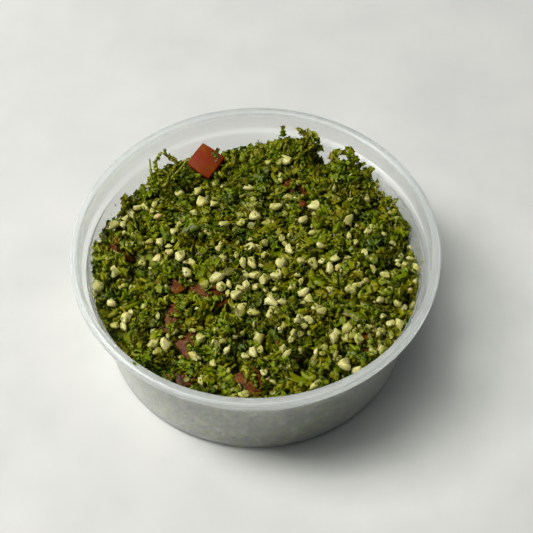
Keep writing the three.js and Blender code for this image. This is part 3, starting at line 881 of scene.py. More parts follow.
# %% Grains and bare tomato that are seen
# Each grain: across, down, length in dots, lean from level in degrees, tint from dull to bright.
seen_grains = [
    (148, 188, 8, 0, .6), (180, 195, 10, 0, .8), (198, 192, 11, 70, .6), (131, 214, 11, -40, .8),
    (138, 209, 10, 20, .8), (145, 208, 10, -40, .6), (120, 213, 8, 0, .5), (119, 220, 7, 60, .5),
    (114, 226, 16, 30, .7), (126, 220, 9, 60, .8), (123, 226, 8, 85, .7), (154, 205, 8, 50, .5),
    (158, 218, 10, 0, .9), (178, 207, 8, 0, .4), (179, 226, 8, 40, .7), (174, 233, 9, 70, .8),
    (194, 213, 9, -10, .6), (99, 236, 11, -15, .8), (104, 240, 8, 30, .6), (175, 179, 6, 0, .4),
    (259, 140, 11, 60, .6), (294, 135, 10, 80, .6), (250, 162, 10, 30, .4), (241, 166, 7, 90, .4),
    (287, 160, 11, 20, .7), (248, 189, 14, -12, .8), (281, 178, 13, 95, .6), (203, 203, 12, 0, .8),
    (214, 205, 9, 20, .7), (250, 206, 8, 30, .3), (276, 208, 15, 0, .7), (288, 198, 11, -5, .4),
    (349, 164, 10, 5, .7), (353, 176, 9, 0, .6), (366, 200, 12, -28, .7), (384, 194, 8, -50, .5),
    (314, 207, 12, 80, .8), (304, 221, 14, 42, .8), (349, 221, 12, -50, .5), (368, 232, 9, 40, .7),
    (312, 233, 9, 0, .5), (114, 273, 13, 95, .8), (98, 289, 14, 52, .8), (95, 295, 11, 35, .8),
    (113, 305, 10, -20, .9), (133, 288, 10, -60, .6), (160, 244, 9, 100, .8), (169, 247, 8, 0, .7),
    (169, 254, 11, 85, .7), (157, 260, 10, 90, .8), (180, 257, 13, 80, .8), (186, 263, 7, 0, .6),
    (192, 264, 10, -60, .8), (186, 274, 13, -62, .8), (158, 317, 8, 90, .8), (131, 314, 9, 70, .6),
    (126, 319, 11, 75, .8), (124, 328, 11, 95, .8), (115, 326, 10, -20, .6), (225, 225, 14, 28, .6),
    (222, 243, 10, 20, .5), (219, 249, 8, 100, .6), (256, 217, 12, -10, .8), (266, 223, 9, 90, .3),
    (250, 249, 12, -5, .8), (223, 259, 10, 80, .6), (289, 251, 13, -60, .9), (281, 239, 9, 30, .6),
    (264, 244, 9, 0, .5), (243, 264, 12, -50, .7), (252, 264, 13, -62, .7), (246, 276, 11, -15, .7),
    (255, 277, 11, 0, .9), (276, 276, 11, 80, .8), (264, 281, 11, 60, .8), (282, 265, 12, -65, .8),
    (217, 281, 16, 20, .9), (221, 288, 10, 90, .8), (229, 285, 10, 95, .7), (228, 294, 9, 85, .7),
    (236, 296, 12, 65, .9), (301, 262, 9, -20, .6), (297, 276, 7, 0, .8), (301, 282, 9, 60, .6),
    (349, 237, 9, 95, .7), (355, 243, 8, 90, .5), (321, 247, 10, -5, .8), (364, 255, 11, 38, .8),
    (371, 261, 9, 30, .4), (348, 258, 8, 0, .5), (335, 260, 10, 0, .8), (330, 270, 13, 100, .9),
    (338, 269, 8, 60, .6), (313, 264, 11, -10, .5), (399, 268, 9, 20, .6), (373, 269, 10, -50, .5),
    (385, 275, 11, -15, .5), (365, 282, 9, 25, .6), (350, 290, 10, 10, .7), (358, 286, 11, 18, .6),
    (388, 291, 10, 90, .4), (380, 301, 10, 5, .7), (304, 294, 13, 30, 1.), (310, 301, 10, -25, .7),
    (316, 308, 10, 30, .7), (321, 311, 9, 80, .6), (300, 319, 9, 30, .8), (308, 320, 11, -5, .9),
    (304, 327, 9, 20, .6), (404, 309, 12, 50, .8), (397, 303, 9, 60, .5), (410, 259, 9, 30, .7),
    (410, 248, 8, -10, .5), (271, 303, 13, 5, .9), (282, 303, 10, -20, .8), (270, 314, 12, 82, .7),
    (243, 309, 9, -60, .7), (256, 312, 8, 0, .4), (297, 322, 10, 50, .9), (293, 334, 10, 45, .5),
    (291, 342, 8, 60, .6), (215, 330, 7, 80, .5), (214, 342, 10, 60, .5), (227, 351, 10, 42, .7),
    (153, 211, 6, 0, .4), (157, 200, 6, 30, .4), (173, 241, 5, 0, .4), (269, 162, 8, 20, .4),
    (223, 187, 7, 40, .7), (376, 188, 5, 0, .6), (391, 205, 6, 60, .4), (390, 213, 6, 0, .4),
    (396, 209, 6, 80, .4), (397, 217, 6, 20, .4), (395, 225, 6, 90, .3), (314, 214, 6, 0, .4),
    (329, 191, 6, -20, .6), (350, 200, 8, 30, .4), (313, 226, 5, 0, .4), (124, 234, 6, 40, .7),
    (151, 269, 5, 0, .6), (129, 279, 7, 80, .4), (125, 286, 8, 20, .4), (144, 308, 6, 60, .7),
    (197, 309, 5, 0, .6), (150, 242, 9, 15, .4), (251, 240, 7, 0, .4), (289, 235, 6, 60, .4),
    (285, 244, 6, 0, .6), (264, 256, 7, 50, .6), (255, 288, 8, 0, .5), (265, 292, 6, 70, .6),
    (275, 290, 6, 10, .6), (384, 235, 6, 0, .6), (392, 244, 8, 30, .7), (416, 270, 11, 80, .6),
    (396, 290, 6, 0, .4), (411, 291, 8, 90, .4), (375, 302, 6, 20, .6), (303, 305, 8, 0, .7),
    (312, 321, 9, 60, .4), (153, 332, 6, 0, .4), (155, 353, 6, 40, .4), (105, 327, 8, 80, .4),
    (198, 358, 7, 0, .7), (181, 338, 5, 0, .4), (267, 303, 8, 60, .7), (235, 337, 6, 20, .6),
    (215, 389, 7, 0, .4), (268, 379, 6, 50, .6), (273, 392, 8, 0, .4), (281, 330, 7, 35, .8),
    (337, 333, 8, 0, .7), (335, 359, 7, 60, .4), (324, 348, 8, 0, .4), (313, 387, 8, 20, .7),
    (303, 313, 9, 10, .6), (240, 290, 9, 30, .8), (262, 267, 8, 20, .7), (236, 256, 7, 60, .6),
    (246, 286, 9, 70, .8), (292, 288, 9, 10, .7), (330, 290, 8, 40, .6), (322, 262, 8, 10, .6),
    (259, 340, 12, 85, .7), (253, 354, 13, -62, .9), (259, 351, 9, 90, .4), (287, 355, 12, 48, .8),
    (213, 364, 12, -70, .7), (264, 373, 9, 100, .7), (273, 382, 9, -30, .4), (201, 382, 10, 85, .7),
    (194, 356, 12, -40, .6), (153, 345, 11, 0, .7), (166, 346, 14, -52, .9), (168, 336, 7, 90, .6),
    (201, 338, 11, -65, .5), (316, 355, 9, 60, .8), (334, 340, 13, 68, .9), (347, 329, 13, 20, .5),
    (359, 339, 11, -70, .5), (369, 328, 8, 0, .8), (378, 337, 9, 95, .6), (391, 324, 13, 85, .8),
    (399, 326, 12, 80, .7), (382, 317, 8, 0, .6), (381, 350, 11, 70, .4), (346, 366, 13, -32, .8),
    (357, 371, 11, 25, .8), (392, 336, 8, 60, .5), (244, 396, 12, 0, .5), (245, 357, 8, 30, .5),
]
# Each cut strip or stalk: start across and down, end across and down, width in dots, tint.
seen_strips = [
    (178, 236, 200, 228, 5, .25), (200, 228, 226, 225, 5, .35), (205, 229, 228, 233, 4, .3),
    (262, 234, 285, 223, 7, .8), (273, 240, 282, 231, 5, .95), (255, 187, 267, 176, 5, .5),
    (270, 170, 277, 187, 5, .45), (270, 196, 287, 190, 5, .9), (293, 176, 300, 168, 4, .8),
    (365, 246, 384, 243, 5, .2), (248, 285, 247, 300, 6, .15), (228, 300, 234, 311, 5, .8),
    (371, 284, 385, 297, 4, .8), (327, 331, 329, 345, 4, .7), (300, 378, 316, 382, 6, .7),
    (318, 379, 328, 386, 5, .75), (130, 355, 139, 358, 3, .9), (318, 270, 330, 286, 4, .9),
    (142, 356, 168, 373, 8, .4), (283, 376, 312, 387, 7, .5), (345, 200, 360, 212, 5, .5),
    (215, 175, 232, 168, 5, .4), (188, 300, 180, 312, 4, .6), (336, 300, 350, 306, 5, .35),
    (150, 300, 166, 292, 4, .5), (232, 322, 250, 328, 5, .45), (395, 280, 408, 276, 4, .55),
    (300, 238, 312, 246, 6, .65), (306, 275, 322, 290, 8, .6), (340, 312, 356, 318, 5, .4),
]
seen_stalks = [
    (108, 318, 142, 303, 5, .5), (336, 208, 346, 217, 5, .8), (205, 277, 213, 271, 4, .8),
    (298, 313, 308, 312, 5, .75), (183, 221, 190, 218, 6, .85), (160, 300, 168, 306, 3, .8),
    (262, 235, 272, 229, 3, .9), (384, 217, 392, 222, 3, .7), (228, 372, 236, 366, 3, .75),
    (322, 220, 329, 226, 4, .8), (140, 280, 148, 284, 3, .8), (350, 346, 357, 352, 3, .8),
]
# Each bare bit of tomato: across, down and half width in dots.
bare_tomato = [(175, 286, 7), (187, 292, 5), (200, 288, 8), (214, 292, 6), (221, 303, 4),
               (171, 305, 6), (170, 318, 6), (183, 339, 7), (195, 341, 6), (181, 381, 7),
               (236, 382, 5), (248, 387, 6), (258, 378, 3), (366, 338, 5), (118, 247, 6),
               (120, 254, 4), (291, 186, 7), (302, 204, 4), (359, 166, 4), (345, 172, 4),
               (203, 153, 11), (208, 166, 9), (209, 177, 4), (214, 159, 8)]
print("grains known one by one:", len(seen_grains))

# %% Keep fine scraps off the large pieces
def clear_of_large(places, half_width, chance, deep=False):
    """True for each scrap that may stay: few may lie over a known grain or bare tomato."""
    across, down = in_frame(places)
    # A scrap reaches this many dots, and what runs away from the eye looks a little shorter.
    reach = 3.1 * half_width
    foreshortening = 1.1
    stay = np.ones(len(places), bool)
    # Each spot: across, down, radius, share of a scrap's reach that counts, chance to lie there
    # all the same, and which scraps are deep enough to lie under the spot.
    spots = [(a, d, 0.42 * length, 0.5 if tint > 0.4 else 0.2, chance, deep)
             for a, d, length, lean, tint in seen_grains]
    spots += [(a, d, radius, 0.45, 1.5 * chance, False) for a, d, radius in bare_tomato]
    for start_across, start_down, end_across, end_down, dots, tint in seen_strips + seen_stalks:
        for part in (0.25, 0.5, 0.75):
            spots.append((start_across + part * (end_across - start_across),
                          start_down + part * (end_down - start_down), 0.3 * dots, 0.3, 0.3, deep))
    for spot_across, spot_down, radius, counted, share, under in spots:
        gap = np.hypot(across - spot_across, (down - spot_down) * foreshortening)
        stay &= (gap > radius + counted * reach) | under | (dice_roll.random(len(places)) < share)
    return stay


# Where a bare bit is seen and no die lies under it, a thin scrap of tomato is laid later.
scrap_spots = []
for spot_across, spot_down, radius in bare_tomato:
    way = Vector(line_of_sight(spot_across, spot_down)).normalized()
    hits = [solid.ray_cast(eye, way)[0] for solid in die_solids.values()]
    if not any(hit is not None for hit in hits):
        scrap_spots.append((spot_across, spot_down, radius))
print("scraps keep clear of", len(seen_grains) + len(bare_tomato), "places")
print("bare tomato with no die under it:", scrap_spots)

# %% [markdown]
# ## Strewing the parsley
# The scraps lie in a loose layer about three millimetres deep that follows the heap, its lumps
# and its pits. They lean every way, and few lie flat. Few fall into a pit, and those are painted
# darker, as painted shade for the hollow.
# Patches of the salad are a little darker or lighter than others, because old and young leaves
# don't mix evenly.

# %% Strew the parsley
tuft_count = 600
tuft_x, tuft_y = over_the_top(tuft_count)
tuft_tint = dice_roll.normal(0, 0.17, tuft_count)
middle_tint = 0.56
darkest_tint = 0.22
lightest_tint = 0.88
painted_pit_shade = 0.22
deep_pit = 3.0
above_die = 0.3
share_on_dice = 0.75
deep_enough = 1.3


def patch_tint(x, y):
    """Shade that the scraps of one torn tuft share, with a slow change over the salad."""
    gaps = (x[:, None] - tuft_x[None]) ** 2 + (y[:, None] - tuft_y[None]) ** 2
    slow = np.sin(x / 9.0 + 0.6) * np.cos(y / 7.5 - 1.1)
    return tuft_tint[np.argmin(gaps, 1)] + 0.06 * slow


def parsley_layer(name, patterns, count, width, depth, lean, tint_spread):
    """Strew one kind of scrap over the top of the salad: width and depth are from and to."""
    x, y = over_the_top(count)
    keep = dice_roll.random(count) > np.clip(pit_at(x, y) / deep_pit, 0, 0.9)
    x, y = x[keep], y[keep]
    sink = dice_roll.uniform(depth[0], depth[1], len(x))
    half = dice_roll.uniform(width[0], width[1], len(x)) / 2
    level = salad_top(x, y) - sink
    lifted = dice_roll.random(len(x)) < share_on_dice
    level = np.where(lifted, np.maximum(level, die_top(x, y) + above_die), level)
    centres = np.stack([x, y, level], -1)
    keep = clear_of_large(centres, half, 0.1, deep=sink > deep_enough)
    x, y, half, centres = x[keep], y[keep], half[keep], centres[keep]
    count = len(x)
    turns = turned(surface_slope(x, y, salad_top), dice_roll.uniform(0, lean, count))
    sizes = half[:, None] * dice_roll.uniform((0.9, 0.55, 0.8), (1.25, 1.05, 1.4), (count, 3))
    tints = dice_roll.normal(middle_tint, tint_spread, count) + patch_tint(x, y)
    # Scraps in a pit get a darker tint: painted shade for the hollow.
    tints = tints - painted_pit_shade * np.clip(pit_at(x, y) / 3.5, 0, 1)
    tints = np.clip(tints, darkest_tint, lightest_tint)
    piece = strew(name, patterns, centres, turns, sizes, tints, parsley, 0.1, smooth=True)
    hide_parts("salad_heap")


parsley_layer("parsley_large_leaves", large_leaves, 170, (4.4, 6.4), (-0.2, 1.8), 50, 0.1)
parsley_layer("parsley_frilled_leaves", frilled_leaves, 2800, (3.0, 6.0), (-0.8, 2.0), 58, 0.12)
parsley_layer("parsley_curly_scraps", curly_scraps, 3600, (2.0, 4.4), (-0.7, 2.0), 64, 0.13)
parsley_layer("parsley_small_scraps", small_scraps, 2200, (1.3, 2.6), (-0.3, 1.8), 75, 0.15)
parsley_layer("parsley_crumbs", crumb_shapes, 700, (0.7, 1.4), (-0.5, 1.2), 90, 0.16)

# %% [markdown]
# ## Cut strips and stems
# The knife also leaves narrow strips of folded leaf and short lengths of ribbed stalk, pale green
# and cut clean across. A strip starts as a narrow grid: its middle line is pushed down for the
# fold, its ends are drawn together and an extrusion gives it thickness. A stalk starts as a
# cylinder: bisect cuts give it joints to bend at, every other side is drawn in for the ribs, and
# both ends are inset and pressed in, where the pith has shrunk.

# %% Strip and stalk patterns
def bent_plate(cells, width, ends, thickness, shake, axis, bend, seed, fold=0, soften=0):
    """A plate one unit long, with its ends drawn in, shaken by shake = (offset, uniform)."""
    start_fresh()
    bpy.ops.mesh.primitive_grid_add(x_subdivisions=cells[0], y_subdivisions=cells[1], size=1)
    plate = bpy.context.object
    bpy.ops.object.mode_set(mode="EDIT")
    bpy.ops.transform.resize(value=(1, width, 1), center_override=(0, 0, 0))
    pick_points(plate, lambda co: abs(co.x) > 0.45)
    bpy.ops.transform.resize(value=(*ends, 1), center_override=(0, 0, 0))
    if fold:
        pick_points(plate, lambda co: abs(co.y) < 0.01)
        bpy.ops.transform.translate(value=(0, 0, -fold * width))
    bpy.ops.mesh.select_all(action="SELECT")
    bpy.ops.mesh.extrude_region_move(TRANSFORM_OT_translate={"value": (0, 0, thickness)})
    bpy.ops.mesh.select_all(action="SELECT")
    bpy.ops.transform.vertex_random(offset=shake[0], uniform=shake[1], normal=0.0, seed=seed)
    if soften:
        bpy.ops.mesh.vertices_smooth(factor=soften, repeat=1)
    return bent_pattern(plate, axis, bend)


def cut_strip(width, taper, fold, bend, seed):
    """A folded strip of leaf, one unit long."""
    return bent_plate((6, 2), width, ends=(1, taper), thickness=0.04, shake=(0.03, 0.5),
                      axis="Z", bend=bend, seed=seed, fold=fold)


def cut_stalk(sides, rib, bend):
    """A ribbed stalk, one unit long and about one unit thick."""
    start_fresh()
    bpy.ops.mesh.primitive_cylinder_add(vertices=sides, radius=0.5, depth=1,
                                        rotation=(0, math.pi / 2, 0))
    stalk = bpy.context.object
    bpy.ops.object.transform_apply(rotation=True)
    bpy.ops.object.mode_set(mode="EDIT")
    for place in (-0.25, 0, 0.25):
        bpy.ops.mesh.select_all(action="SELECT")
        bpy.ops.mesh.bisect(plane_co=(place, 0, 0), plane_no=(1, 0, 0))
    step = math.tau / sides
    pick_points(stalk, lambda co: round(math.atan2(co.z, co.y) / step) % 2 == 1)
    bpy.ops.transform.resize(value=(1, rib, rib), center_override=(0, 0, 0))
    for end in (-1, 1):
        bpy.ops.mesh.select_all(action="DESELECT")
        bpy.ops.mesh.select_mode(type="FACE")
        shape = bmesh.from_edit_mesh(stalk.data)
        for face in shape.faces:
            face.select = face.normal.x * end > 0.9
        bmesh.update_edit_mesh(stalk.data)
        bpy.ops.mesh.inset(thickness=0.13)
        bpy.ops.transform.translate(value=(-0.05 * end, 0, 0))
    bpy.ops.mesh.select_all(action="SELECT")
    return bent_pattern(stalk, "Z", bend)


strips = [cut_strip(0.3, 0.3, 0.5, 40, 41), cut_strip(0.22, 0.2, 0.7, 75, 42),
          cut_strip(0.36, 0.5, 0.4, 20, 43), cut_strip(0.26, 0.4, -0.5, 100, 44)]
stalks = [cut_stalk(8, 0.82, 10), cut_stalk(10, 0.86, 25), cut_stalk(8, 0.88, 0)]
print("faces of strips and stalks:", [len(p[1]) for p in strips + stalks])

# %% Lay the strips and stalks
def laid_between(rows, lift):
    """Centres, turns and sizes of pieces that lie on the salad between two seen places."""
    centres, turns, sizes = [], [], []
    for start_across, start_down, end_across, end_down, dots, tint in rows:
        ends = []
        for across, down in ((start_across, start_down), (end_across, end_down)):
            x, y = under_frame(across, down, salad_top)
            ends.append(np.array([x, y, float(salad_top(np.array([x]), np.array([y]))[0]) + lift]))
        ahead = ends[1] - ends[0]
        length = np.linalg.norm(ahead)
        ahead = ahead / length
        beside = np.cross((dice_roll.uniform(-0.3, 0.3), dice_roll.uniform(-0.5, 0.1), 1.0), ahead)
        beside /= np.linalg.norm(beside)
        centres.append((ends[0] + ends[1]) / 2)
        turns.append(np.stack([ahead, beside, np.cross(ahead, beside)], -1))
        sizes.append((length, dots / dots_a_mm, dots / dots_a_mm))
    tints = np.array([row[5] for row in rows])
    return np.array(centres), np.array(turns), np.array(sizes), tints


def strewn_long(rows, patterns, name, count, length, thickness, lift, pattern_width):
    """Lay the seen pieces of one long kind and strew more of them over the top."""
    centres, turns, sizes, tints = laid_between(rows, lift)
    # A strip's pattern is narrower than one unit, and its thickness goes with its width.
    sizes[:, 1] = sizes[:, 1] / pattern_width
    sizes[:, 2] = sizes[:, 1]
    x, y = over_the_top(count, 51)
    sink = dice_roll.uniform(-0.6, 1.2, count)
    level = np.maximum(salad_top(x, y) - sink, die_top(x, y) + above_die)
    more = np.stack([x, y, level], -1)
    keep = clear_of_large(more, 1.0, 0.15)
    more, x, y = more[keep], x[keep], y[keep]
    normals = surface_slope(x, y, salad_top)
    spin = turned(normals, dice_roll.uniform(0, 35, len(x)))
    scale = dice_roll.uniform(length[0], length[1], len(x))
    thick = dice_roll.uniform(thickness[0], thickness[1], len(x))
    more_sizes = np.stack([scale, thick, thick], -1)
    centres = np.concatenate([centres, more])
    turns = np.concatenate([turns, spin])
    sizes = np.concatenate([sizes, more_sizes])
    tints = np.concatenate([tints, np.clip(dice_roll.normal(0.45, 0.2, len(x)), 0.1, 1)])
    piece = strew(name, patterns, centres, turns, sizes, tints, parsley, smooth=True)
    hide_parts("salad_heap")


strewn_long(seen_strips, strips, "parsley_strips", 200, (3.0, 6.0), (2.0, 4.5), 1.0, 0.28)
strewn_long(seen_stalks, stalks, "parsley_stalks", 90, (1.4, 3.6), (0.6, 1.2), 0.9, 1.0)

# %% [markdown]
# ## Tufts that stand up
# Loose tufts lean off the heap towards the far wall and at its edges, and one small sprig stands
# by the free tomato die with daylight through its loops. Each is built of curly scraps: a tuft
# between its foot and its tip, and the sprig along its arms, on a plane that slants back from
# its foot to its tip.

# %% Tufts and the sprig
# Each tuft: across, foot, tip and half width in dots.
seen_tufts = [
    (284, 149, 129, 6), (292, 149, 132, 6), (300, 149, 128, 6), (308, 150, 131, 5),
    (315, 152, 135, 5), (277, 151, 137, 5), (270, 152, 142, 5), (320, 154, 144, 3),
    (334, 168, 151, 5), (341, 168, 148, 6), (349, 168, 148, 6), (356, 170, 152, 5),
    (363, 174, 160, 4), (369, 182, 169, 4), (377, 192, 182, 4), (386, 198, 188, 4),
    (228, 162, 148, 2), (234, 163, 146, 2), (244, 165, 145, 3), (252, 156, 144, 4),
    (260, 154, 140, 4), (125, 214, 199, 2), (132, 212, 196, 3), (112, 230, 221, 3),
    (97, 248, 241, 3), (139, 206, 191, 4), (146, 198, 185, 4), (154, 194, 183, 3),
    (236, 168, 152, 6), (226, 176, 162, 5), (395, 208, 200, 3), (405, 230, 222, 3),
]
# The sprig, scrap by scrap: across, down and width in dots.
sprig_scraps = [
    (156, 168, 5), (156, 163, 5), (158, 158, 5), (161, 154, 4), (164, 151, 4), (166, 155, 4),
    (169, 157, 5), (173, 159, 5), (176, 163, 5), (174, 168, 4), (172, 172, 5), (159, 172, 7),
    (163, 174, 8), (167, 176, 8), (161, 179, 8), (166, 182, 8), (171, 180, 7), (158, 184, 6),
    (163, 187, 7), (169, 187, 7), (175, 184, 5), (152, 172, 4), (151, 179, 4), (153, 186, 4),
    (180, 170, 3), (183, 166, 3), (187, 168, 5), (192, 176, 6), (196, 180, 6), (188, 178, 5),
    (184, 182, 6), (178, 188, 6), (154, 176, 4), (155, 190, 6), (200, 184, 6),
]
sprig_foot_down = 192
sprig_tip_down = 151
sprig_foot = at_the_back(165, sprig_foot_down, heap_height)
sprig_tip = at_the_back(164, sprig_tip_down, heap_height)


def on_the_sprig(across, down):
    """The place seen there on the slanting plane from the sprig's foot back to its tip."""
    share = (sprig_foot_down - down) / (sprig_foot_down - sprig_tip_down)
    return on_upright(across, down, sprig_foot[1] + share * (sprig_tip[1] - sprig_foot[1]))


centres, tints, widths = [], [], []
for across, foot, tip, half_width in seen_tufts:
    # The foot is sunk a little into the heap. A tuft has more scraps low down and narrows upwards.
    foot_place = at_the_back(across, foot + 6, heap_height)
    tip_place = at_the_back(across, tip + 1, heap_height)
    for scrap in range(int(0.65 * (foot - tip) + 1.4 * half_width)):
        rise = dice_roll.random() ** 1.15
        spread = half_width / dots_a_mm * (1 - 0.55 * rise)
        place = foot_place + (tip_place - foot_place) * rise
        centres.append(place + dice_roll.uniform((-spread, -1.2, -0.4), (spread, 0.8, 0.4)))
        tints.append(dice_roll.normal(0.6, 0.2))
        widths.append(dice_roll.uniform(2.0, 4.2))
for across, down, dots in sprig_scraps:
    for repeat in range(4):
        place = on_the_sprig(across + dice_roll.uniform(-1.2, 1.2), down + dice_roll.uniform(-1, 1))
        centres.append(place + dice_roll.uniform((0, -0.5, -0.2), (0, 0.5, 0.2)))
        # The sprig itself is young and light. The leaves beside it, towards the die, are dark.
        tints.append(dice_roll.normal(0.85 if across < 177 else 0.3, 0.12))
        widths.append(dots / dots_a_mm * dice_roll.uniform(1.0, 1.5))
keep = clear_of_large(np.array(centres), np.array(widths) / 2, 0.08)
centres, tints, widths = np.array(centres)[keep], np.array(tints)[keep], np.array(widths)[keep]
count = len(centres)
sizes = widths[:, None] / 2 * dice_roll.uniform((0.9, 0.4, 0.8), (1.35, 0.9, 1.3), (count, 3))
turns = turned(np.tile((-0.4, -0.4, 0.82), (count, 1)), dice_roll.uniform(0, 65, count))
tufts = strew("parsley_tufts", curly_scraps + frilled_leaves, centres, turns, sizes,
              np.clip(tints, 0.05, 1), parsley, painted_rim_light=0.3, smooth=True)
print("highest tuft:", round(float(centres[:, 2].max()), 1), "sprig:", sprig_foot.round(1),
      sprig_tip.round(1))
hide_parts("salad_heap")

# %% Thin stems of the sprig
sprig_stems = [[(149.5, 159), (150.5, 168), (151, 178), (153, 190)],
               [(176, 163), (174, 170), (170, 176), (164, 188)],
               [(158, 158), (155, 166), (158, 175), (163, 190)],
               [(186, 161), (179, 170), (172, 177), (166, 190)]]
start_fresh()
bpy.ops.curve.primitive_bezier_curve_add()
stems = bpy.context.object
stems.name = "parsley_sprig_stems"
stems.data.splines.clear()
for line in sprig_stems:
    spline = stems.data.splines.new("BEZIER")
    spline.bezier_points.add(len(line) - 1)
    for point, (across, down) in zip(spline.bezier_points, line):
        point.co = Vector(on_the_sprig(across, down)) * MM
        point.handle_left_type = "AUTO"
        point.handle_right_type = "AUTO"
stems.data.bevel_depth = 0.3 * MM
stems.data.bevel_resolution = 2
stems.data.resolution_u = 6
stems.data.use_fill_caps = True
bpy.ops.object.convert(target="MESH")
bpy.ops.object.transform_apply(location=True, rotation=True, scale=True)
stem_tint = stems.data.attributes.new("tint", "FLOAT", "POINT")
stem_tint.data.foreach_set("value", np.full(len(stems.data.vertices), 0.85, np.float32))
stems.data.materials.clear()
stems.data.materials.append(parsley)
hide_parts("salad_heap")
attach(stems, "root")
print("sprig stems:", len(stems.data.polygons), "faces")

# %% [markdown]
# ## Salad pressed against the wall
# Through the side of the tub one sees what lies against it: scraps flattened on the plastic and
# grains between them, all the way down. They are strewn round the core with their flat side to
# the wall.

# %% Strew the side
side_foot = 2.6
side_top = 30.5
well_below_the_edge = 2.5


def against_the_wall(name, patterns, count, width, tint, material, smooth=False):
    """Strew one kind of piece round the side of the salad."""
    angle = dice_roll.random(count) * math.tau
    z = dice_roll.uniform(side_foot, side_top, count)
    edge = heap_height(wall_radius(z) * np.cos(angle), wall_radius(z) * np.sin(angle))
    z = np.minimum(z, edge - 0.3)
    reach = wall_radius(z) - dice_roll.uniform(0.25, 1.3, count)
    centres = np.stack([reach * np.cos(angle), reach * np.sin(angle), z], -1)
    deep = z < edge - well_below_the_edge
    keep = clear_of_large(centres, np.full(count, width[0] / 2), 0.1, deep=deep) | deep
    angle, centres, count = angle[keep], centres[keep], int(keep.sum())
    normals = np.stack([np.cos(angle), np.sin(angle), np.zeros(count)], -1)
    turns = turned(normals, dice_roll.uniform(0, 40, count))
    half = dice_roll.uniform(width[0], width[1], count)
    sizes = half[:, None] * dice_roll.uniform((0.9, 0.6, 0.7), (1.3, 1.0, 1.1), (count, 3))
    tints = np.clip(dice_roll.normal(tint, 0.18, count), 0, 1)
    piece = strew(name, patterns, centres, turns, sizes, tints, material, smooth=smooth)
    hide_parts("salad_heap")


against_the_wall("parsley_at_the_wall", curly_scraps, 1900, (1.0, 2.4), 0.5, parsley)
against_the_wall("parsley_bits_at_the_wall", small_scraps, 2000, (0.7, 1.3), 0.6, parsley)

# %% [markdown]
# ## Bulgur
# Bulgur is cracked wheat: blunt, angular grains of two to five millimetres, soft and cream
# yellow once soaked. Each pattern is a ball drawn out to a grain and cut by two or three planes,
# as cracking does. Some keep the crease of the wheat, and some are bent like a bean.

# %% Bulgur patterns
def bulgur_grain(length, width, height, cuts, crease, bend, seed):
    """One cracked grain, about one unit long."""
    start_fresh()
    bpy.ops.mesh.primitive_ico_sphere_add(subdivisions=2, radius=0.5)
    grain = bpy.context.object
    bpy.ops.object.mode_set(mode="EDIT")
    bpy.ops.transform.resize(value=(length, width, height), center_override=(0, 0, 0))
    if crease:
        pick_points(grain, lambda co: abs(co.y) < 0.09 and co.z > 0)
        bpy.ops.transform.translate(value=(0, 0, -crease))
    for place, direction in cuts:
        bpy.ops.mesh.select_all(action="SELECT")
        bpy.ops.mesh.bisect(plane_co=place, plane_no=direction, use_fill=True, clear_outer=True)
    bpy.ops.mesh.select_all(action="SELECT")
    bpy.ops.mesh.remove_doubles(threshold=0.03)
    bpy.ops.transform.vertex_random(offset=0.07, uniform=0.8, normal=0.0, seed=seed)
    bpy.ops.mesh.vertices_smooth(factor=0.4, repeat=1)
    points, triangles, rim = bent_pattern(grain, "Z", bend)
    points = points - (points.max(0) + points.min(0)) / 2
    return points / np.ptp(points[:, 0]), triangles, rim


grains = [
    bulgur_grain(1.1, 0.76, 0.66, [((0.3, 0, 0), (0.9, 0.2, 0.3)), ((0, 0, 0.2), (0.2, 0.1, 1)),
                                   ((-0.2, 0.2, 0.1), (-0.4, 0.8, 0.5))], 0, 25, 31),
    bulgur_grain(1.15, 0.8, 0.62, [((-0.3, 0, 0), (-0.8, 0.5, 0.2)), ((0.34, 0, 0), (1, -0.2, 0.2)),
                                   ((0.1, 0.2, 0), (0.2, 0.9, 0.2))], 0, 15, 32),
    bulgur_grain(1.0, 0.86, 0.7, [((0.26, 0.12, 0), (0.7, 0.6, 0.1)), ((0, 0, 0.2), (0.1, 0.2, 1)),
                                  ((-0.3, 0, 0), (-1, 0.3, 0))], 0, 0, 33),
    bulgur_grain(1.25, 0.68, 0.58, [((0, 0.15, 0), (0.2, 1, 0.3)),
                                    ((0.44, 0, 0), (1, 0.3, 0.3))], 0.1, 60, 34),
    bulgur_grain(1.0, 0.84, 0.72, [((0.22, -0.2, 0), (0.6, -0.8, 0)), ((0, 0, 0.24), (-0.2, 0, 1)),
                                   ((-0.22, 0.22, 0), (-0.5, 0.8, 0.4))], 0, 0, 35),
    bulgur_grain(1.2, 0.72, 0.62, [((0.38, 0, 0), (1, 0, 0.4)), ((-0.38, 0, 0), (-1, 0.4, 0.2)),
                                   ((0, -0.2, 0), (0.1, -1, 0.3))], 0.06, 40, 36),
    bulgur_grain(0.95, 0.84, 0.66, [((0, 0, 0.18), (0.3, 0, 1)), ((0.2, 0.18, 0), (0.9, 0.5, 0.1)),
                                    ((-0.1, -0.24, 0), (-0.3, -0.9, 0.2))], 0, 0, 37),
    bulgur_grain(1.3, 0.64, 0.6, [((0.36, 0.1, 0), (0.8, 0.6, 0.2)),
                                  ((-0.4, 0, 0.1), (-0.8, 0.2, 0.5))], 0.06, 80, 38),
]
print("faces of the grains:", [len(p[1]) for p in grains])

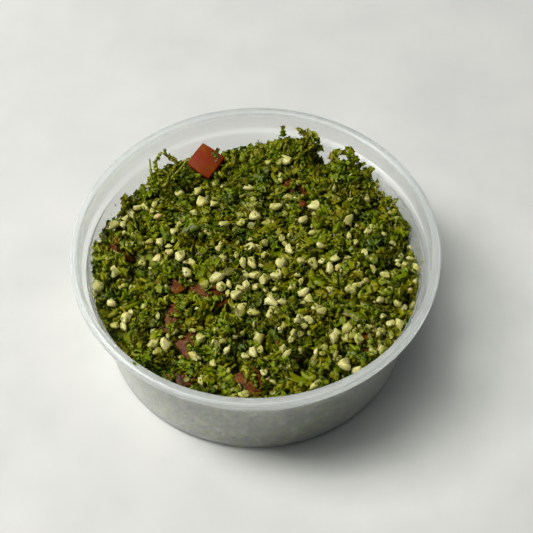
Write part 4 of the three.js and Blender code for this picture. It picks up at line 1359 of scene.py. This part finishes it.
# %% Bulgur material
def bulgur_soaked():
    """Soaked cracked wheat: waxy cream yellow, glowing inside, greener where leaf stained it."""
    material, output = new_material("bulgur_soaked")
    tint = add_node(material, "ShaderNodeAttribute", attribute_name="tint")
    ramp = add_node(material, "ShaderNodeValToRGB", {"Fac": tint.outputs["Fac"]})
    colour_steps(ramp, (0.0, "88883a"), (0.35, "a6a450"), (0.7, "beba70"), (1.0, "d2cc8c"))
    place = add_node(material, "ShaderNodeTexCoord")
    # A few grains are toasted tan: patches wider than a grain and far apart.
    toast = add_node(material, "ShaderNodeTexNoise", {"Vector": place.outputs["Object"]},
                     Scale=170.0, Detail=1.0)
    browned = add_node(material, "ShaderNodeMapRange", {"Value": toast.outputs["Fac"]},
                       From_Min=0.64, From_Max=0.72, To_Min=0.0, To_Max=0.55)
    wheat = add_node(material, "ShaderNodeMixRGB",
                     {0: browned.outputs[0], 1: ramp.outputs[0]}, Color2=linear("b08450"))
    stain = add_node(material, "ShaderNodeTexNoise", {"Vector": place.outputs["Object"]},
                     Scale=420.0, Detail=2.0)
    share = add_node(material, "ShaderNodeMapRange", {"Value": stain.outputs["Fac"]},
                     From_Min=0.55, From_Max=0.72, To_Min=0.0, To_Max=0.75)
    colour = add_node(material, "ShaderNodeMixRGB",
                      {0: share.outputs[0], 1: wheat.outputs[0]}, Color2=linear("96983c"))
    # The cut face of the wheat is finely grainy, about a quarter of a millimetre.
    grit = add_node(material, "ShaderNodeTexNoise", {"Vector": place.outputs["Object"]},
                    Scale=4000.0, Detail=1.0)
    bump = add_node(material, "ShaderNodeBump", {"Height": grit.outputs["Fac"]},
                    Strength=0.2, Distance=0.0002)
    skin = add_node(material, "ShaderNodeBsdfPrincipled",
                    {"Base Color": colour.outputs[0], "Normal": bump.outputs[0]},
                    Roughness=0.36, IOR=1.42, Subsurface_Weight=0.75, Subsurface_Scale=0.0015,
                    Subsurface_Radius=(1.0, 0.95, 0.8))
    material.node_tree.links.new(skin.outputs[0], output.inputs["Surface"])
    return material


bulgur = bulgur_soaked()
against_the_wall("bulgur_at_the_wall", grains, 440, (2.6, 3.8), 0.75, bulgur, smooth=True)
print("bulgur material:", bulgur.name)

# %% Strew the bulgur
# A seen grain is partly buried, so it is a little longer than it looks.
grain_dots_a_mm = 2.92
# The view from 55 degrees up flattens what runs away from the eye to about four fifths.
flattened = 0.82
more_grains = 320
known = len(seen_grains)
grain_count = known + more_grains
x, y = over_the_top(grain_count, 51)
sink = dice_roll.uniform(-0.3, 1.4, grain_count)
length = dice_roll.uniform(2.2, 3.6, grain_count)
tints = np.clip(dice_roll.normal(0.3, 0.2, grain_count), 0, 1)
heading = dice_roll.uniform(0, math.pi, grain_count)
for number, (across, down, dots, lean, tint) in enumerate(seen_grains):
    x[number], y[number] = under_frame(across, down, salad_top)
    # The lighter a grain looks, the higher it lies.
    sink[number] = 0.6 - 1.6 * tint
    length[number] = dots / grain_dots_a_mm
    # The tint is how bright the grain is seen, so it holds the grain's own colour and, for a grain
    # that lies low, painted shade.
    tints[number] = tint
    lean = math.radians(lean)
    heading[number] = math.atan2(math.sin(lean) / flattened, math.cos(lean))
# A grain doesn't drop into a pit as far as the fine leaf does.
level = np.maximum(salad_top(x, y) + 0.4 * pit_at(x, y) - sink, die_top(x, y) + 0.8)
centres = np.stack([x, y, level], -1)
stray_across, stray_down = in_frame(centres[:known])
stray = np.hypot(stray_across - [g[0] for g in seen_grains],
                 stray_down - [g[1] for g in seen_grains])
print("grains seen off their place:",
      [(g[0], g[1], round(float(s))) for g, s in zip(seen_grains, stray) if s > 4])
keep = clear_of_large(centres, length / 2, 0.1)
keep[:known] = True
x, y, length, tints, heading, centres = [
    values[keep] for values in (x, y, length, tints, heading, centres)]
grain_count = len(x)
normals = surface_slope(x, y, heap_height)
ahead = np.stack([np.cos(heading), np.sin(heading), np.zeros(grain_count)], -1)
normals += 0.25 * dice_roll.normal(size=(grain_count, 3))
normals /= np.linalg.norm(normals, axis=1)[:, None]
beside = np.cross(normals, ahead)
beside /= np.linalg.norm(beside, axis=1)[:, None]
turns = np.stack([np.cross(beside, normals), beside, normals], -1)
sizes = length[:, None] * dice_roll.uniform((0.95, 0.85, 0.85), (1.05, 1.15, 1.1), (grain_count, 3))
top_grains = strew("bulgur_grains", grains, centres, turns, sizes, tints, bulgur, smooth=True)
start_fresh()
bpy.context.view_layer.objects.active = top_grains
top_grains.select_set(True)
bpy.ops.object.shade_smooth_by_angle(angle=math.radians(62))
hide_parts("salad_heap")

# %% Leaf flecks stuck on the grains and on the free die
fleck_count = 420
chosen = dice_roll.integers(0, grain_count, fleck_count)
along = dice_roll.uniform(-0.42, 0.42, fleck_count) * length[chosen]
aside = dice_roll.uniform(-0.28, 0.28, fleck_count) * length[chosen]
above = 0.33 * length[chosen]
offset = np.stack([along, aside, above], -1)
centres = centres[chosen] + np.einsum("nij,nj->ni", turns[chosen], offset)
widths = dice_roll.uniform(0.5, 1.3, fleck_count)
flat_on = normals[chosen]
# On the die: across, down and width in dots; each is dropped along the line of sight onto it.
die_flecks = [(213, 153, 4), (216, 154, 5), (218, 158, 4), (215, 157, 5), (212, 155, 3),
              (207, 169, 2), (211, 151, 3), (216, 161, 3), (214, 155, 4), (217, 156, 4),
              (219, 156, 3), (213, 158, 3)]
for across, down, dots in die_flecks:
    way = Vector(line_of_sight(across, down)).normalized()
    hit, hit_normal = die_solids[free_die].ray_cast(eye, way)[:2]
    if hit is None:
        continue
    centres = np.concatenate([centres, [np.array(hit + 0.12 * hit_normal)]])
    flat_on = np.concatenate([flat_on, [np.array(hit_normal)]])
    widths = np.append(widths, dots / dots_a_mm)
count = len(centres)
sizes = widths[:, None] / 2 * dice_roll.uniform((0.9, 0.6, 0.4), (1.4, 1.0, 0.8), (count, 3))
tints = np.clip(dice_roll.normal(0.5, 0.2, count), 0, 1)
tints[fleck_count:] = dice_roll.uniform(0.05, 0.3, count - fleck_count)
flecks = strew("parsley_flecks", crumb_shapes + small_scraps, centres,
               turned(flat_on, dice_roll.uniform(0, 22, count)), sizes, tints, parsley)
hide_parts("salad_heap")

# %% [markdown]
# ## Chopped onion
# A little white onion is chopped in with the rest. Each bit is a curved chip half a millimetre
# thick or a little more, glassy and grey-green from the leaf juice. A grid plate has its ends
# drawn in, an extrusion gives it thickness and a bend follows the onion's layer.

# %% Onion
def onion_chip(width, bend, seed):
    """A curved chip of onion, one unit long."""
    return bent_plate((4, 2), width, ends=(0.92, 0.7), thickness=0.26, shake=(0.05, 0.6),
                      axis="Y", bend=bend, seed=seed)


def onion_raw():
    """Raw chopped onion: pale, glassy, picking up the green around it."""
    material, output = new_material("onion_raw")
    place = add_node(material, "ShaderNodeTexCoord")
    # The flesh is uneven in colour, in patches about a millimetre wide.
    patches = add_node(material, "ShaderNodeTexNoise", {"Vector": place.outputs["Object"]},
                       Scale=900.0, Detail=2.0)
    ramp = add_node(material, "ShaderNodeValToRGB", {"Fac": patches.outputs["Fac"]})
    colour_steps(ramp, (0.3, "80823c"), (0.5, "98984e"), (0.7, "b4b06e"))
    skin = add_node(material, "ShaderNodeBsdfPrincipled", {"Base Color": ramp.outputs[0]},
                    Roughness=0.4, IOR=1.38, Specular_IOR_Level=0.2)
    through = add_node(material, "ShaderNodeBsdfTranslucent", {"Color": ramp.outputs[0]})
    mix = add_node(material, "ShaderNodeMixShader",
                   {1: skin.outputs[0], 2: through.outputs[0]}, Fac=0.4)
    material.node_tree.links.new(mix.outputs[0], output.inputs["Surface"])
    return material


# Each bit: start across and down, end across and down, width in dots, tint.
seen_onion = [(221, 275, 235, 271, 8, .5), (249, 227, 257, 228, 6, .5), (238, 281, 247, 279, 6, .5),
              (178, 222, 189, 219, 8, .5), (266, 281, 272, 277, 5, .5), (330, 305, 336, 300, 5, .5),
              (352, 318, 358, 322, 5, .5), (210, 262, 216, 258, 5, .5), (300, 350, 307, 352, 5, .5)]
chips = [onion_chip(0.7, 50, 51), onion_chip(0.9, 30, 52)]
onion_centres, onion_turns, onion_sizes = laid_between(seen_onion, 0.5)[:3]
# The patterns are about 0.8 wide and 0.26 thick, so this makes the bits 0.7 mm thick.
onion_sizes[:, 1] = onion_sizes[:, 1] / 0.8
onion_sizes[:, 2] = 2.6
more = 46
x, y = over_the_top(more, 50)
level = np.maximum(salad_top(x, y) - dice_roll.uniform(-0.3, 0.9, more), die_top(x, y) + 0.4)
onion_centres = np.concatenate([onion_centres, np.stack([x, y, level], -1)])
onion_turns = np.concatenate([onion_turns, turned(surface_slope(x, y, salad_top),
                                                  dice_roll.uniform(0, 50, more))])
onion_sizes = np.concatenate([onion_sizes, dice_roll.uniform(1.6, 3.2, (more, 3))])
onion_tints = np.full(len(onion_centres), 0.5)
onion = strew("onion_bits", chips, onion_centres, onion_turns, onion_sizes, onion_tints,
              onion_raw())
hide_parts("salad_heap")

# %% [markdown]
# ## Scraps of tomato and specks on the tub
# The knife leaves thin scraps of tomato flesh between the leaves, and the spoon leaves a few
# specks of parsley on the tub's wall and lip. A scrap is a small plate with its ends drawn in,
# smoothed and bent. A speck lies where a line from the eye first meets the tub.

# %% Tomato scraps
def tomato_scrap(width, bend, seed):
    """A thin, uneven scrap of tomato flesh, one unit long."""
    return bent_plate((4, 4), width, ends=(0.9, 0.62), thickness=0.2, shake=(0.09, 0.7),
                      axis="Y", bend=bend, seed=seed, soften=0.5)


# Each scrap: start across and down, end across and down, width in dots, tint.
seen_scraps = [(across - 0.9 * half, down, across + 0.9 * half, down + 2, 1.9 * half, 0.5)
               for across, down, half in scrap_spots]
seen_scraps += [(300, 201, 306, 207, 6, .5), (277, 341, 276, 352, 4, .5),
                (228, 389, 246, 372, 3, .5), (234, 389, 247, 394, 3, .5),
                (284, 185, 297, 182, 8, .5)]
scrap_centres, scrap_turns, scrap_sizes, scrap_tints = laid_between(seen_scraps, 0.1)
# The patterns are about 0.2 thick, so this makes the scraps 0.6 mm thick.
scrap_sizes[:, 2] = 3.0
tomato_scraps = strew("tomato_scraps", [tomato_scrap(0.8, 30, 61), tomato_scrap(1.0, -20, 62)],
                      scrap_centres, scrap_turns, scrap_sizes, scrap_tints, tomato_flesh,
                      smooth=True)
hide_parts("salad_heap")

# %% Specks on the tub
tub_points = [corner.co / MM for corner in tub.data.vertices]
tub_solid = BVHTree.FromPolygons(tub_points, [face.vertices[:] for face in tub.data.polygons])
# Each speck: across, down and width in dots.
seen_specks = [(115, 205, 2.5), (111, 215, 2.5), (93, 249, 4), (94, 272, 3), (423, 261, 3),
               (134.5, 363.5, 6), (136, 365, 4), (120, 198, 2), (88, 260, 2), (430, 247, 2)]
speck_centres, speck_normals, speck_widths = [], [], []
for across, down, dots in seen_specks:
    way = Vector(line_of_sight(across, down)).normalized()
    hit, hit_normal = tub_solid.ray_cast(eye, way)[:2]
    speck_centres.append(np.array(hit + 0.15 * hit_normal))
    speck_normals.append(np.array(hit_normal))
    speck_widths.append(dots / dots_a_mm)
count = len(seen_specks)
speck_sizes = np.array(speck_widths)[:, None] / 2 * dice_roll.uniform(0.5, 1.2, (count, 3))
speck_turns = turned(np.array(speck_normals), dice_roll.uniform(0, 15, count))
specks = strew("parsley_specks", crumb_shapes, np.array(speck_centres), speck_turns, speck_sizes,
               np.full(count, 0.35), parsley, inside=False)
print("speck radii:", np.hypot(*np.array(speck_centres)[:, :2].T).round(1))

# %% [markdown]
# ## Table, light and backdrop
# The tub stands on a plain pale table. One large soft lamp high at the left gives clear shadows
# that fall to the right, and a dim room fills them. The room is brightest near the table, because
# the clear lip of the tub gathers what stands behind it.

# %% Table
start_fresh()
bpy.ops.mesh.primitive_plane_add(size=3.0)
table = bpy.context.object
table.name = "table"
table_material, table_output = new_material("plaster_pale")
table_place = add_node(table_material, "ShaderNodeTexCoord")
table_noise = add_node(table_material, "ShaderNodeTexNoise",
                       {"Vector": table_place.outputs["Object"]}, Scale=35.0, Detail=5.0)
table_ramp = add_node(table_material, "ShaderNodeValToRGB", {"Fac": table_noise.outputs["Fac"]})
colour_steps(table_ramp, (0.3, "c9cbc8"), (0.7, "d3d4d1"))
table_skin = add_node(table_material, "ShaderNodeBsdfPrincipled",
                      {"Base Color": table_ramp.outputs[0]}, Roughness=0.8)
table_material.node_tree.links.new(table_skin.outputs[0], table_output.inputs["Surface"])
table.data.materials.append(table_material)
table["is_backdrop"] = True
print("table ready")

# %% Light
lamp_bearing = math.radians(176)
lamp_height = math.radians(57)
lamp_distance = 1.2
lamp_size = 0.46
lamp_power = 18.2
lamp_colour = (1.0, 0.98, 0.95)
room_colour = (0.92, 0.96, 1.0, 1.0)

lamp_data = bpy.data.lights.new("soft_lamp", "AREA")
lamp_data.shape = "DISK"
lamp_data.size = lamp_size
lamp_data.energy = lamp_power
lamp_data.color = lamp_colour
lamp = bpy.data.objects.new("soft_lamp", lamp_data)
bpy.context.collection.objects.link(lamp)
flat = math.cos(lamp_height)
lamp_way = Vector((flat * math.cos(lamp_bearing), flat * math.sin(lamp_bearing),
                   math.sin(lamp_height)))
lamp.location = lamp_way * lamp_distance
lamp.rotation_mode = "QUATERNION"
lamp.rotation_quaternion = lamp_way.to_track_quat("Z", "Y")

sky = bpy.data.worlds.new("dim_sky")
bpy.context.scene.world = sky
sky.use_nodes = True
sky_light = sky.node_tree.nodes["Background"]
sky_light.inputs["Color"].default_value = room_colour
# The pale walls of the room: brighter at the height of the table, dim overhead.
sky_way = add_node(sky, "ShaderNodeTexCoord")
sky_height = add_node(sky, "ShaderNodeSeparateXYZ", {"Vector": sky_way.outputs["Generated"]})
sky_rise = add_node(sky, "ShaderNodeMapRange", {"Value": sky_height.outputs["Z"]},
                    From_Min=0.0, From_Max=0.35, To_Min=0.4, To_Max=0.12)
sky.node_tree.links.new(sky_rise.outputs[0], sky_light.inputs["Strength"])
bpy.context.scene.view_settings.view_transform = "Standard"
print("lamp at", [round(c, 2) for c in lamp.location])

# %% Sizes and finish
sizes = {"cad_box": [list(corner) for corner in cad_box],
         "visual_box": [list(corner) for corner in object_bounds()]}
print(sizes)
